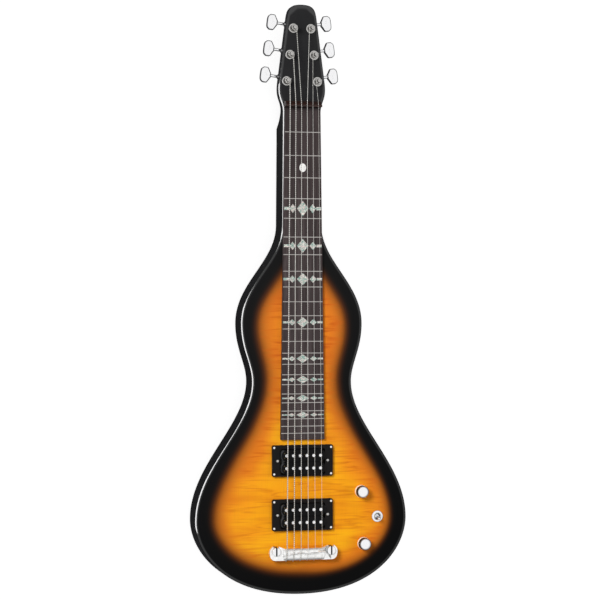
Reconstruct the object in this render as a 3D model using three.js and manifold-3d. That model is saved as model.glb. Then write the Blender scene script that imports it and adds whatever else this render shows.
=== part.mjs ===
import * as THREE from 'three';
import { mergeVertices } from 'three/addons/utils/BufferGeometryUtils.js';
import Module from 'manifold-3d';

// A six-string electric lap steel guitar, in millimetres.
// +Y runs from the bridge to the headstock, +X is the treble side, +Z leaves the playing face.
// The origin lies on the flat back, on the centre line, straight below the bridge line.

// Driving dimensions of the instrument
const scaleLength = 647.7;
const bodyDepth = 44;
const topThickness = 3.2;
const tailReach = 64.3;
const lowerBoutStation = 45.1;
const lowerBoutWidth = 318;
const waistStation = 246.5;
const waistWidth = 149.6;
const upperBoutStation = 331.6;
const upperBoutWidth = 182.5;
const neckStation = 477;
const neckWidth = 59.4;
const nutNeckWidth = 57.2;
const headstockLength = 151;
const headstockThickness = 13;
const boardThickness = 5;
const stringSpanNut = 42.6;
const stringSpanBridge = 52.6;
const stringRiseNut = 10.5;
const stringRiseBridge = 12.3;

// Clearances: between parts that turn or slide, between parts that only meet, and past a cut
const runningGap = 0.3;
const seatGap = 0.3;
const overrun = 3;

// Heights that most pieces are measured from
const coreDepth = bodyDepth - topThickness;
const faceZ = bodyDepth;
const boardZ = faceZ + boardThickness;
const headBackZ = faceZ - headstockThickness;
const nutStringZ = boardZ + stringRiseNut;
const bridgeStringZ = boardZ + stringRiseBridge;

const wasm = await Module();
wasm.setup();

const guitar = new THREE.Group();

function finish(color, roughness, metalness) {
  return new THREE.MeshStandardMaterial({ color, roughness, metalness });
}
const blackLacquer = () => finish(0x0b0b0d, 0.12, 0);
const amberBurst = () => finish(0xe08a1e, 0.15, 0);
const rosewood = () => finish(0x3a2422, 0.5, 0);
const chrome = () => finish(0xd9dcdf, 0.08, 1);
const blackPlastic = () => finish(0x141416, 0.35, 0);
const steel = () => finish(0xb9bcbf, 0.25, 1);
const brass = () => finish(0xb4883a, 0.3, 1);

function addPiece(name, geometry, material, parent = guitar) {
  const mesh = new THREE.Mesh(geometry, material);
  mesh.name = name;
  parent.add(mesh);
  return mesh;
}

// A closed three.js geometry as a solid that can be joined and cut, its faces pointing out
function solid(geometry) {
  const bare = geometry.clone();
  bare.deleteAttribute('normal');
  bare.deleteAttribute('uv');
  const merged = mergeVertices(bare);
  const xyz = merged.attributes.position.array;
  const corner = (i) => new THREE.Vector3().fromArray(xyz, 3 * i);
  const faces = [];
  let volume = 0;
  for (let i = 0; i < merged.index.count; i += 3) {
    const [a, b, c] = [0, 1, 2].map((k) => merged.index.getX(i + k));
    if (a === b || b === c || c === a) continue;
    faces.push([a, b, c]);
    volume += corner(a).dot(corner(b).cross(corner(c)));
  }
  const turned = volume < 0 ? faces.map(([a, b, c]) => [a, c, b]) : faces;
  return new wasm.Manifold(new wasm.Mesh({
    numProp: 3,
    vertProperties: Float32Array.from(xyz),
    triVerts: Uint32Array.from(turned.flat()),
  }));
}

// The surface of a solid as a three.js geometry
function surface(manifold) {
  const mesh = manifold.getMesh();
  const geometry = new THREE.BufferGeometry();
  geometry.setAttribute('position', new THREE.BufferAttribute(Float32Array.from(mesh.vertProperties), 3));
  geometry.setIndex(Array.from(mesh.triVerts));
  geometry.computeVertexNormals();
  return geometry;
}

const joined = (...geometries) => geometries.map(solid).reduce((whole, next) => whole.add(next));
const cut = (whole, tools) => tools.reduce((left, tool) => left.subtract(solid(tool)), whole);

function block(x0, x1, y0, y1, z0, z1) {
  const box = new THREE.BoxGeometry(x1 - x0, y1 - y0, z1 - z0);
  return box.translate((x0 + x1) / 2, (y0 + y1) / 2, (z0 + z1) / 2);
}

// Round bars along each axis
function barZ(radius, x, y, z0, z1, sides) {
  const bar = new THREE.CylinderGeometry(radius, radius, z1 - z0, sides);
  return bar.rotateX(Math.PI / 2).translate(x, y, (z0 + z1) / 2);
}
function barX(radius, y, z, x0, x1, sides) {
  const bar = new THREE.CylinderGeometry(radius, radius, x1 - x0, sides);
  return bar.rotateZ(-Math.PI / 2).translate((x0 + x1) / 2, y, z);
}
function barY(radius, x, z, y0, y1, sides) {
  const bar = new THREE.CylinderGeometry(radius, radius, y1 - y0, sides);
  return bar.translate(x, (y0 + y1) / 2, z);
}

// The corner radius of a many-sided bore whose flats stand at the given radius
const boreAround = (radius, sides) => radius / Math.cos(Math.PI / sides);

// An outline as a shape of distinct points. Points nearer than this are one point.
const samePoint = 0.001;
function distinct(outline, curveSegments) {
  const points = outline instanceof THREE.Shape ? outline.extractPoints(curveSegments).shape : outline;
  return new THREE.Shape(points.filter((p, i) =>
    p.distanceTo(points[(i + points.length - 1) % points.length]) > samePoint));
}

// A flat outline in X and Y, given thickness from z0 to z1
function plate(outline, z0, z1, curveSegments = 3) {
  const shape = distinct(outline, curveSegments);
  const geometry = new THREE.ExtrudeGeometry(shape, { depth: z1 - z0, bevelEnabled: false });
  return geometry.translate(0, 0, z0);
}

// The same with both rims rounded over
function roundedPlate(outline, z0, z1, rim, bevelSegments, curveSegments = 3) {
  const geometry = new THREE.ExtrudeGeometry(distinct(outline, curveSegments), {
    depth: z1 - z0 - 2 * rim,
    bevelEnabled: true,
    bevelThickness: rim,
    bevelSize: rim,
    bevelOffset: -rim,
    bevelSegments,
  });
  return geometry.translate(0, 0, z0 + rim);
}

// A side view in Y and Z, given width from x0 to x1
function slab(sideView, x0, x1, curveSegments = 3) {
  const geometry = plate(sideView, 0, x1 - x0, curveSegments);
  const axes = new THREE.Matrix4().makeBasis(
    new THREE.Vector3(0, 1, 0), new THREE.Vector3(0, 0, 1), new THREE.Vector3(1, 0, 0));
  return geometry.applyMatrix4(axes).translate(x0, 0, 0);
}

// A half profile of radius and height turned round the Z axis through (x, y)
function turned(profile, x, y, sides) {
  const points = profile.map(([radius, height]) => new THREE.Vector2(radius, height));
  return new THREE.LatheGeometry(points, sides).rotateX(Math.PI / 2).translate(x, y, 0);
}

// A rectangle with round corners, centred on (x, y)
function roundedRectangle(x, y, width, length, corner) {
  const shape = new THREE.Shape();
  const [left, right, low, high] = [x - width / 2, x + width / 2, y - length / 2, y + length / 2];
  shape.moveTo(left + corner, low);
  shape.lineTo(right - corner, low);
  shape.absarc(right - corner, low + corner, corner, -Math.PI / 2, 0);
  shape.lineTo(right, high - corner);
  shape.absarc(right - corner, high - corner, corner, 0, Math.PI / 2);
  shape.lineTo(left + corner, high);
  shape.absarc(left + corner, high - corner, corner, Math.PI / 2, Math.PI);
  shape.lineTo(left, low + corner);
  shape.absarc(left + corner, low + corner, corner, Math.PI, 1.5 * Math.PI);
  return shape;
}

// The plan of body, neck and headstock: one smooth curve on the treble side, mirrored to the bass side.
// Each share is the length of a curve's handle, as a share of the distance that the curve spans.
const handleShares = {
  tail: 0.745,
  lowerBoutBelow: 0.39,
  lowerBoutAbove: 0.391,
  waistBelow: 0.321,
  waistAbove: 0.303,
  upperBoutBelow: 0.443,
  upperBoutAbove: 0.411,
  neck: 0.373,
  cheek: 0.45,
  shoulder: 0.657,
  crown: 0.836,
};
const flareSetback = 8;
const cheekReach = 26.5;
const cheekWidth = 71;
const cheekRound = 5;
const shoulderReach = 128.2;
const shoulderWidth = 45.7;
const neckRimRound = 2.4;
const headTipY = scaleLength + headstockLength;
const cheekY = scaleLength + cheekReach;
const shoulderY = scaleLength + shoulderReach;
const sideStartY = cheekY + cheekRound;
const sideSlope = (cheekWidth - shoulderWidth) / 2 / (shoulderY - sideStartY);
const sideAngle = Math.atan(sideSlope);

const headHalfWidth = (y) => cheekWidth / 2 - sideSlope * (y - sideStartY);

function planOutline() {
  const at = (x, y) => new THREE.Vector2(x, y);
  const curves = [];
  const stations = [
    [lowerBoutWidth / 2, lowerBoutStation],
    [waistWidth / 2, waistStation],
    [upperBoutWidth / 2, upperBoutStation],
    [neckWidth / 2, neckStation],
  ];
  const handles = [
    [handleShares.lowerBoutAbove, handleShares.waistBelow],
    [handleShares.waistAbove, handleShares.upperBoutBelow],
    [handleShares.upperBoutAbove, handleShares.neck],
  ];
  const [boutX, boutY] = stations[0];
  const boutHandleY = boutY - handleShares.lowerBoutBelow * (boutY + tailReach);
  curves.push([new THREE.CubicBezierCurve(
    at(0, -tailReach),
    at(handleShares.tail * boutX, -tailReach),
    at(boutX, boutHandleY),
    at(boutX, boutY)), 13]);
  handles.forEach(([leave, arrive], i) => {
    const [x0, y0] = stations[i];
    const [x1, y1] = stations[i + 1];
    const span = y1 - y0;
    curves.push([new THREE.CubicBezierCurve(
      at(x0, y0), at(x0, y0 + leave * span), at(x1, y1 - arrive * span), at(x1, y1)), 11]);
  });
  const flareY = scaleLength - flareSetback;
  const flareSpan = cheekY - flareY;
  curves.push([new THREE.LineCurve(at(neckWidth / 2, neckStation), at(nutNeckWidth / 2, flareY)), 1]);
  curves.push([new THREE.CubicBezierCurve(
    at(nutNeckWidth / 2, flareY),
    at(nutNeckWidth / 2, flareY + handleShares.cheek * flareSpan),
    at(cheekWidth / 2, cheekY - handleShares.cheek * flareSpan),
    at(cheekWidth / 2, cheekY)), 6]);
  const sideTopY = sideStartY + cheekRound;
  curves.push([new THREE.QuadraticBezierCurve(
    at(cheekWidth / 2, cheekY), at(cheekWidth / 2, sideStartY), at(headHalfWidth(sideTopY), sideTopY)), 3]);
  curves.push([new THREE.LineCurve(
    at(headHalfWidth(sideTopY), sideTopY), at(shoulderWidth / 2, shoulderY)), 1]);
  const domeHeight = headTipY - shoulderY;
  const crownHandle = shoulderY + handleShares.shoulder * domeHeight;
  curves.push([new THREE.CubicBezierCurve(
    at(shoulderWidth / 2, shoulderY),
    at(headHalfWidth(crownHandle), crownHandle),
    at(handleShares.crown * shoulderWidth / 2, headTipY),
    at(0, headTipY)), 7]);
  const treble = curves.flatMap(([curve, steps]) => curve.getPoints(steps).slice(1));
  const bass = treble.slice(0, -1).reverse().map((p) => at(-p.x, p.y));
  return [at(0, -tailReach), ...treble, ...bass];
}
const plan = planOutline();

// Frets of an equal-tempered scale, two octaves of them
const fretCount = 24;
const fretStation = (fret) => scaleLength * 2 ** (-fret / 12);
const boardEndY = fretStation(fretCount);

// Pickup pockets. Stations are the pickups' centres, measured from the bridge line: the neck pickup's ring
// follows the end of the fingerboard. Each ring stands a little ahead of its pickup's centre.
const ringLength = 46;
const ringLead = 1.4;
const ringSetback = 7.6;
const bridgePickupReach = 50.8;
const pickupStations = {
  neck: boardEndY - ringSetback - ringLength / 2 - ringLead,
  bridge: bridgePickupReach,
};
const pocketWidth = 85;
const pocketLength = 41;
const pocketDepth = 21;
const pocketCorner = 4;
const pocketFloorZ = faceZ - pocketDepth;
const pocketPlan = (y) => roundedRectangle(0, y, pocketWidth, pocketLength, pocketCorner);

// Control cavity, cut from the back, with a lip for its cover. It and the controls over it are set in from
// the treble rim.
const trebleRimX = lowerBoutWidth / 2;
const controlInset = 59;
const controlCentreX = trebleRimX - controlInset;
const controlCentreY = 45.5;
const controlWidth = 56;
const controlLength = 110;
const controlCorner = 17;
const controlCeiling = 9;
const coverLip = 5;
const coverThickness = 2;
const coverInset = 0.4;
const controlCeilingZ = faceZ - controlCeiling;
const controlPlan = (grow) => roundedRectangle(controlCentreX, controlCentreY,
  controlWidth + 2 * grow, controlLength + 2 * grow, controlCorner + grow);

// Channels for the leads: pocket to pocket, and from the bridge pickup to the controls
const channelRadius = 4;
const channelZ = pocketFloorZ + channelRadius;
const channelSides = 6;

// Places of the controls: how far in from the treble rim, and the station from the bridge line
const volumeInset = 69.5;
const toneInset = 65.8;
const switchInset = 44.5;
const volumeSpot = { x: trebleRimX - volumeInset, y: 84 };
const toneSpot = { x: trebleRimX - toneInset, y: 7.2 };
const switchSpot = { x: trebleRimX - switchInset, y: 46.6 };
const boreSides = 10;
const potBushingRadius = 4.75;
const switchBushingRadius = 5.8;
const potBore = boreAround(potBushingRadius + seatGap, boreSides);
const switchBore = boreAround(switchBushingRadius + seatGap, boreSides);

// Output jack, sunk in the treble rim where the body is widest
const jackY = lowerBoutStation;
const jackZ = bodyDepth / 2;
const jackBarrelRadius = 5.6;
const jackBoreRadius = 3.25;
const jackBarrelLength = 27;
const jackFlangeRadius = 8.5;
const jackFlangeThickness = 2;
const jackRecess = 5;
const jackPocketRadius = 11;
const jackSides = 14;
const jackSeatX = trebleRimX - jackRecess;

// Bridge studs and their anchors
const studSpacing = 82.4;
const studShankRadius = 3.9;
const anchorRadius = 5.9;
const anchorLength = 22;
const anchorSides = 10;
const anchorBore = boreAround(anchorRadius + seatGap, anchorSides);

// Machine heads: their posts stand along the sloping sides of the headstock
const tunerSetback = 35.3;
const tunerSpacing = 38.7;
const postInset = 11.4;
const sleeveRadius = 4.8;
const sleeveBore = boreAround(sleeveRadius + seatGap, boreSides);
const tunersPerSide = 3;
const tunerSpots = [];
for (let place = 0; place < tunersPerSide; place += 1) {
  const y = headTipY - tunerSetback - (tunersPerSide - 1 - place) * tunerSpacing;
  tunerSpots.push({ x: headHalfWidth(y) - postInset, y });
}

// The neck runs through the body. Behind the headstock the back sweeps up to the thinner head.
const sweepLead = 27.7;
const sweepTrail = 16.3;
const sweepStart = scaleLength - sweepLead;
const sweepEnd = scaleLength + sweepTrail;
const backRimRound = 3.5;
const sweepCurveShare = 0.3;

function bodyCore() {
  const blank = solid(roundedPlate(plan, 0, coreDepth + backRimRound + overrun, backRimRound, 2));
  const sweep = new THREE.Shape();
  sweep.moveTo(sweepStart, -overrun);
  sweep.lineTo(headTipY + overrun, -overrun);
  sweep.lineTo(headTipY + overrun, headBackZ);
  sweep.lineTo(sweepEnd, headBackZ);
  sweep.quadraticCurveTo(sweepStart + sweepCurveShare * (sweepEnd - sweepStart), headBackZ, sweepStart, 0);
  const half = lowerBoutWidth / 2 + overrun;
  const tools = [
    block(-half, half, -tailReach - overrun, headTipY + overrun, coreDepth, bodyDepth + 2 * overrun),
    slab(sweep, -cheekWidth / 2 - overrun, cheekWidth / 2 + overrun, 5),
    plate(controlPlan(0), -overrun, controlCeilingZ, 2),
    plate(controlPlan(coverLip), -overrun, coverInset + coverThickness + seatGap, 2),
    barX(channelRadius, pickupStations.bridge, channelZ, 0, controlCentreX, channelSides),
    barY(channelRadius, 0, channelZ, pickupStations.bridge, pickupStations.neck, channelSides),
    barZ(potBore, volumeSpot.x, volumeSpot.y, 0, bodyDepth, boreSides),
    barZ(potBore, toneSpot.x, toneSpot.y, 0, bodyDepth, boreSides),
    barZ(switchBore, switchSpot.x, switchSpot.y, 0, bodyDepth, boreSides),
    barX(boreAround(jackBarrelRadius + seatGap, jackSides), jackY, jackZ, controlCentreX, half, jackSides),
    barX(jackPocketRadius, jackY, jackZ, jackSeatX, half, jackSides),
  ];
  for (const y of Object.values(pickupStations)) {
    tools.push(plate(pocketPlan(y), pocketFloorZ, bodyDepth, 1));
  }
  for (const side of [-1, 1]) {
    const anchorFloorZ = faceZ - anchorLength - seatGap;
    tools.push(barZ(anchorBore, side * studSpacing / 2, 0, anchorFloorZ, bodyDepth, anchorSides));
    for (const { x, y } of tunerSpots) {
      tools.push(barZ(sleeveBore, side * x, y, 0, bodyDepth, boreSides));
    }
  }
  return surface(cut(blank, tools));
}
addPiece('body_core', bodyCore(), blackLacquer());

// One sheet with a rounded rim covers the face. It is parted at the nut into maple top and head veneer.
function faceSheet() {
  const sheet = solid(roundedPlate(plan, coreDepth - neckRimRound - overrun, faceZ, neckRimRound, 2));
  const half = lowerBoutWidth / 2 + overrun;
  const below = block(-half, half, -tailReach - overrun, headTipY + overrun, 0, coreDepth);
  return sheet.subtract(solid(below));
}

function mapleTop(sheet) {
  const half = lowerBoutWidth / 2 + overrun;
  const tools = [
    block(-half, half, scaleLength, headTipY + overrun, 0, bodyDepth + overrun),
    barZ(potBore, volumeSpot.x, volumeSpot.y, 0, faceZ + overrun, boreSides),
    barZ(potBore, toneSpot.x, toneSpot.y, 0, faceZ + overrun, boreSides),
    barZ(switchBore, switchSpot.x, switchSpot.y, 0, faceZ + overrun, boreSides),
  ];
  for (const y of Object.values(pickupStations)) {
    tools.push(plate(pocketPlan(y), 0, faceZ + overrun, 1));
  }
  for (const side of [-1, 1]) {
    tools.push(barZ(anchorBore, side * studSpacing / 2, 0, 0, faceZ + overrun, anchorSides));
  }
  return surface(cut(sheet, tools));
}

function headVeneer(sheet) {
  const half = lowerBoutWidth / 2 + overrun;
  const tools = [block(-half, half, -tailReach - overrun, scaleLength, 0, bodyDepth + overrun)];
  for (const side of [-1, 1]) {
    for (const { x, y } of tunerSpots) {
      tools.push(barZ(sleeveBore, side * x, y, 0, faceZ + overrun, boreSides));
    }
  }
  return surface(cut(sheet, tools));
}
const sheet = faceSheet();
addPiece('maple_top', mapleTop(sheet), amberBurst());
addPiece('headstock_face', headVeneer(sheet), blackLacquer());

// Fingerboard: a tapered rosewood slab with raised lines for frets, ending two octaves up
const boardNutWidth = 53.6;
const boardEndWidth = 65.6;
const fretLineWidth = 1;
const fretLineDepth = 1;
const fretLineRise = 0.25;
const fretLineInset = 0.4;

const boardTopY = scaleLength - seatGap;
const boardHalfWidth = (y) =>
  (boardNutWidth + (boardEndWidth - boardNutWidth) * (scaleLength - y) / (scaleLength - boardEndY)) / 2;

function fingerboard() {
  const outline = [[1, boardEndY], [1, boardTopY], [-1, boardTopY], [-1, boardEndY]];
  let board = solid(plate(
    outline.map(([side, y]) => new THREE.Vector2(side * boardHalfWidth(y), y)), faceZ, boardZ));
  for (let fret = 1; fret < fretCount; fret += 1) {
    const y = fretStation(fret);
    const half = boardHalfWidth(y) - fretLineInset;
    const [y0, y1] = [y - fretLineWidth / 2, y + fretLineWidth / 2];
    board = board.add(solid(block(-half, half, y0, y1, boardZ - fretLineDepth, boardZ + fretLineRise)));
  }
  return surface(board);
}
addPiece('fingerboard', fingerboard(), rosewood());

// Strings: number 6 is the thickest, on the bass side. Diameters run from string 1 to string 6.
const stringDiameters = [0.38, 0.46, 0.66, 0.91, 1.17, 1.42];
const stringCount = stringDiameters.length;
const stringX = (number, span) => (0.5 - (number - 1) / (stringCount - 1)) * span;
const stringRadius = (number) => stringDiameters[number - 1] / 2;

// Nut: a tall rosewood block, slotted at its front crest and falling away towards the headstock
const nutLength = 8.5;
const nutCrest = 2.4;
const nutLipRise = 0.5;
const nutBackRise = 3;
const slotGap = 0.15;
const slotRelief = 0.5;
const slotFall = 2.4;

function nut() {
  const top = nutStringZ + nutLipRise;
  const half = boardHalfWidth(scaleLength);
  const side = [
    [scaleLength, faceZ],
    [scaleLength + nutLength, faceZ],
    [scaleLength + nutLength, boardZ + nutBackRise],
    [scaleLength + nutCrest, top],
    [scaleLength, top],
  ];
  const body = solid(slab(side.map(([y, z]) => new THREE.Vector2(y, z)), -half, half));
  const crestY = scaleLength + nutCrest;
  const backY = scaleLength + nutLength;
  const slots = stringDiameters.flatMap((_, i) => {
    const x = stringX(i + 1, stringSpanNut);
    const reach = stringRadius(i + 1) + slotGap;
    const floor = nutStringZ - reach;
    const relief = [[crestY, floor], [backY, floor - slotFall], [backY, top], [crestY, top + overrun]];
    return [
      block(x - reach, x + reach, scaleLength - overrun, crestY + slotGap, floor, top + overrun),
      slab(relief.map(([y, z]) => new THREE.Vector2(y, z)), x - reach - slotRelief, x + reach + slotRelief),
    ];
  });
  return surface(cut(body, slots));
}
addPiece('nut', nut(), rosewood());

// Wraparound bridge: an oval bar between two hooked ears, with a stepped ridge that sets each string's
// length. The strings enter from the front, leave at the back and wrap over the top.
const bridgeCentreY = -4.8;
const barLength = 61.5;
const barWidth = 17.5;
const barHeight = 12;
const barClearance = 3;
const barFacets = 9;
const ridgeBase = 3.6;
const ridgeGap = 0.3;
const ridgeSetbackSpread = 6;
const ridgeSetbackShares = [0.2, 0.5, 0.7, 0.45, 0.65, 0.9];
const earRadius = 9.6;
const earThickness = 5.5;
const earRound = 1;
const earCentreOffset = 1.2;
const stringHoleRadius = 1.5;
const ballPocketRadius = 2.7;
const ballPocketDepth = 5;
const holeDrop = 1.4;
const holeSides = 6;
const hookSides = 12;
const barCentreZ = faceZ + barClearance + barHeight / 2;
const earZ = barCentreZ - earThickness / 2;
const ridgeY = (number) => -ridgeSetbackSpread * ridgeSetbackShares[number - 1];

function earOutline(side) {
  const shape = new THREE.Shape();
  const rootX = barLength / 2 - barClearance;
  const centreX = studSpacing / 2;
  const rearY = bridgeCentreY - barWidth / 2;
  const frontY = bridgeCentreY + barWidth / 2;
  const centreY = -earCentreOffset;
  shape.moveTo(rootX, rearY);
  shape.lineTo(centreX, rearY);
  shape.quadraticCurveTo(centreX + earRadius, rearY, centreX + earRadius, centreY);
  shape.absarc(centreX, centreY, earRadius, 0, 0.6 * Math.PI);
  shape.lineTo(rootX, frontY);
  return shape.extractPoints(3).shape.map((p) => new THREE.Vector2(side * p.x, p.y));
}

function bridgeBar() {
  const oval = new THREE.Shape();
  oval.absellipse(bridgeCentreY, barCentreZ, barWidth / 2, barHeight / 2, 0, 2 * Math.PI);
  let bar = solid(slab(oval.getPoints(barFacets).slice(0, -1), -barLength / 2, barLength / 2));
  for (const side of [-1, 1]) {
    bar = bar.add(solid(roundedPlate(earOutline(side), earZ, earZ + earThickness, earRound, 1)));
  }
  const step = stringSpanBridge / (stringCount - 1);
  for (let number = 1; number <= stringCount; number += 1) {
    const x = stringX(number, stringSpanBridge);
    const y = ridgeY(number);
    const crest = bridgeStringZ - stringRadius(number) - ridgeGap;
    const wedge = [[y - ridgeBase, barCentreZ], [y + ridgeBase, barCentreZ], [y, crest]];
    const points = wedge.map(([v, z]) => new THREE.Vector2(v, z));
    bar = bar.add(solid(slab(points, x - step / 2, x + step / 2)));
  }
  const hook = boreAround(studShankRadius + runningGap, hookSides);
  const [hookLow, hookHigh] = [earZ - overrun, earZ + earThickness + overrun];
  const hooks = [-1, 1].map((side) => side * studSpacing / 2).flatMap((x) => [
    barZ(hook, x, 0, hookLow, hookHigh, hookSides),
    block(x - hook, x + hook, 0, earRadius + overrun, hookLow, hookHigh),
  ]);
  const holes = stringDiameters.flatMap((_, i) => {
    const x = stringX(i + 1, stringSpanBridge);
    const [rear, front] = [bridgeCentreY - barWidth, bridgeCentreY + barWidth];
    const pocketY = bridgeCentreY + barWidth / 2 - ballPocketDepth;
    return [
      barY(stringHoleRadius, x, barCentreZ - holeDrop, rear, front, holeSides),
      barY(ballPocketRadius, x, barCentreZ - holeDrop, pocketY, front, holeSides),
    ];
  });
  return surface(cut(bar, [...hooks, ...holes]));
}
addPiece('bridge_bar', bridgeBar(), chrome());

// Studs: a slotted head over the ear, a waist in the hook, a flange under it and a shank in the anchor
const studHeadRadius = 6.4;
const studHeadHeight = 2.8;
const studFlangeRadius = 6;
const studFlangeHeight = 1.6;
const studShankDepth = 18;
const studSlotWidth = 1.6;
const studSlotDepth = 1.4;
const studSides = 12;

function bridgeStud(x) {
  const headZ = earZ + earThickness + seatGap;
  const flangeTop = earZ - seatGap;
  const chamfer = studHeadHeight / 4;
  const profile = [
    [0, faceZ - studShankDepth],
    [studShankRadius, faceZ - studShankDepth],
    [studShankRadius, flangeTop - studFlangeHeight],
    [studFlangeRadius, flangeTop - studFlangeHeight],
    [studFlangeRadius, flangeTop],
    [studShankRadius, flangeTop],
    [studShankRadius, headZ],
    [studHeadRadius, headZ],
    [studHeadRadius, headZ + studHeadHeight - chamfer],
    [studHeadRadius - chamfer, headZ + studHeadHeight],
    [0, headZ + studHeadHeight],
  ];
  const top = headZ + studHeadHeight;
  const slot = block(x - studSlotWidth / 2, x + studSlotWidth / 2,
    -studHeadRadius - overrun, studHeadRadius + overrun, top - studSlotDepth, top + overrun);
  return surface(cut(solid(turned(profile, x, 0, studSides)), [slot]));
}

function studAnchor(x) {
  const floor = faceZ - anchorLength;
  const bore = boreAround(studShankRadius + runningGap, anchorSides);
  const profile = [
    [0, floor],
    [anchorRadius, floor],
    [anchorRadius, faceZ],
    [bore, faceZ],
    [bore, faceZ - studShankDepth - runningGap],
    [0, faceZ - studShankDepth - runningGap],
  ];
  return surface(solid(turned(profile, x, 0, anchorSides)));
}
for (const [name, side] of [['bass', -1], ['treble', 1]]) {
  addPiece(`bridge_stud_${name}`, bridgeStud(side * studSpacing / 2), chrome());
  addPiece(`stud_anchor_${name}`, studAnchor(side * studSpacing / 2), steel());
}

// Machine heads. Each is modelled round its post, with the back of the headstock at height zero and the
// key pointing along +X. The bass side takes the mirror image.
const postRadius = 3.1;
const postWaistRadius = 2.7;
const postHeight = 16.6;
const waistLow = 5;
const waistHigh = 12;
const waistTaper = 0.8;
const postSides = 10;
const stringHoleHeight = 13.6;
const postHoleRadius = 0.95;
const toothCount = 14;
const wheelPitchRadius = 4.6;
const toothHeight = 0.45;
const wheelThickness = 3;
const gearClearance = 0.35;
const wheelRoomSides = 10;
const wormOffset = 7;
const wormDrop = 5.6;
const wormTurns = 3;
const wormStepsPerTurn = 6;
const wormSides = 6;
const journalRadius = 1.5;
const journalLength = 1.6;
const journalSides = 6;
const keyShaftRadius = 2;
const keyShaftSides = 7;
const buttonStart = 20.6;
const buttonLength = 16;
const buttonWidth = 23;
const buttonThickness = 8;
const buttonRound = 2;
const flangeRadius = 6.95;
const flangeThickness = 1.5;
const collarRadius = 5;
const collarHeight = 1.3;
const sleeveLength = 9;
const housingFloor = 1.6;
const housingWall = 1.5;
const housingRound = 1.8;
const housingCorner = 4;
const housingCollarRadius = 3.7;
const housingCollarLength = 3.4;
const wormMeanRadius = wormOffset - wheelPitchRadius - gearClearance;
const wormLead = 2 * Math.PI * wheelPitchRadius / toothCount;
const wormLength = wormTurns * wormLead;
const helixSlope = wormLead / (2 * Math.PI * wormMeanRadius);
const faceHeight = headstockThickness;

// Closed rings of points, joined one after the other and capped at both ends
function skin(rings) {
  const sides = rings[0].length;
  const index = [];
  for (let i = 0; i + 1 < rings.length; i += 1) {
    for (let k = 0; k < sides; k += 1) {
      const [a, b] = [i * sides + k, i * sides + (k + 1) % sides];
      index.push(a, b, a + sides, b, b + sides, a + sides);
    }
  }
  const last = (rings.length - 1) * sides;
  for (let k = 1; k + 1 < sides; k += 1) {
    index.push(0, k + 1, k, last, last + k, last + k + 1);
  }
  const geometry = new THREE.BufferGeometry();
  const xyz = rings.flat().flatMap((p) => [p.x, p.y, p.z]);
  geometry.setAttribute('position', new THREE.Float32BufferAttribute(xyz, 3));
  geometry.setIndex(index);
  return geometry;
}

// The worm is a round section that stands off the key's axis and turns once in each lead
function worm() {
  const rings = [];
  const steps = Math.round(wormTurns * wormStepsPerTurn);
  for (let i = 0; i <= steps; i += 1) {
    const along = wormLength * (i / steps - 0.5);
    const phase = 2 * Math.PI * along / wormLead + Math.PI;
    const centre = [toothHeight * Math.cos(phase), toothHeight * Math.sin(phase)];
    rings.push(Array.from({ length: wormSides }, (_, k) => {
      const angle = 2 * Math.PI * k / wormSides;
      const y = wormOffset + centre[0] + wormMeanRadius * Math.cos(angle);
      const z = -wormDrop + centre[1] + wormMeanRadius * Math.sin(angle);
      return new THREE.Vector3(along, y, z);
    }));
  }
  return skin(rings);
}

// The wheel's teeth lean with the worm's helix
function wormWheel() {
  const steps = 2;
  const outline = Array.from({ length: toothCount * steps }, (_, i) => {
    const angle = 2 * Math.PI * i / (toothCount * steps) + Math.PI / 2;
    const radius = wheelPitchRadius + toothHeight * Math.cos(2 * Math.PI * i / steps + Math.PI);
    return new THREE.Vector2(radius * Math.cos(angle), radius * Math.sin(angle));
  });
  const wheel = plate(outline, -wheelThickness / 2, wheelThickness / 2);
  const xyz = wheel.attributes.position;
  for (let i = 0; i < xyz.count; i += 1) {
    const lean = helixSlope * xyz.getZ(i) / wheelPitchRadius;
    const [x, y] = [xyz.getX(i), xyz.getY(i)];
    xyz.setXY(i, x * Math.cos(lean) - y * Math.sin(lean), x * Math.sin(lean) + y * Math.cos(lean));
  }
  return wheel.translate(0, 0, -wormDrop);
}

function tunerPost() {
  const base = -wormDrop - wheelThickness / 2;
  const top = faceHeight + postHeight;
  const profile = [
    [0, base - journalLength],
    [journalRadius, base - journalLength],
    [journalRadius, base],
    [postRadius, base],
    [postRadius, faceHeight + waistLow],
    [postWaistRadius, faceHeight + waistLow + waistTaper],
    [postWaistRadius, faceHeight + waistHigh - waistTaper],
    [postRadius, faceHeight + waistHigh],
    [postRadius, top - waistTaper],
    [postRadius - waistTaper, top],
    [0, top],
  ];
  const hole = barX(postHoleRadius, 0, faceHeight + stringHoleHeight, -postRadius - overrun,
    postRadius + overrun, 8);
  return cut(joined(turned(profile, 0, 0, postSides), wormWheel()), [hole]);
}

// The button's plan, from its narrow root to its rounded outer end, as shares of its length and width
const buttonShares = [[0, 0.17], [0.1, 0.2], [0.3, 0.42], [0.45, 0.49], [0.72, 0.5], [0.92, 0.42], [1, 0.3]];

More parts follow.
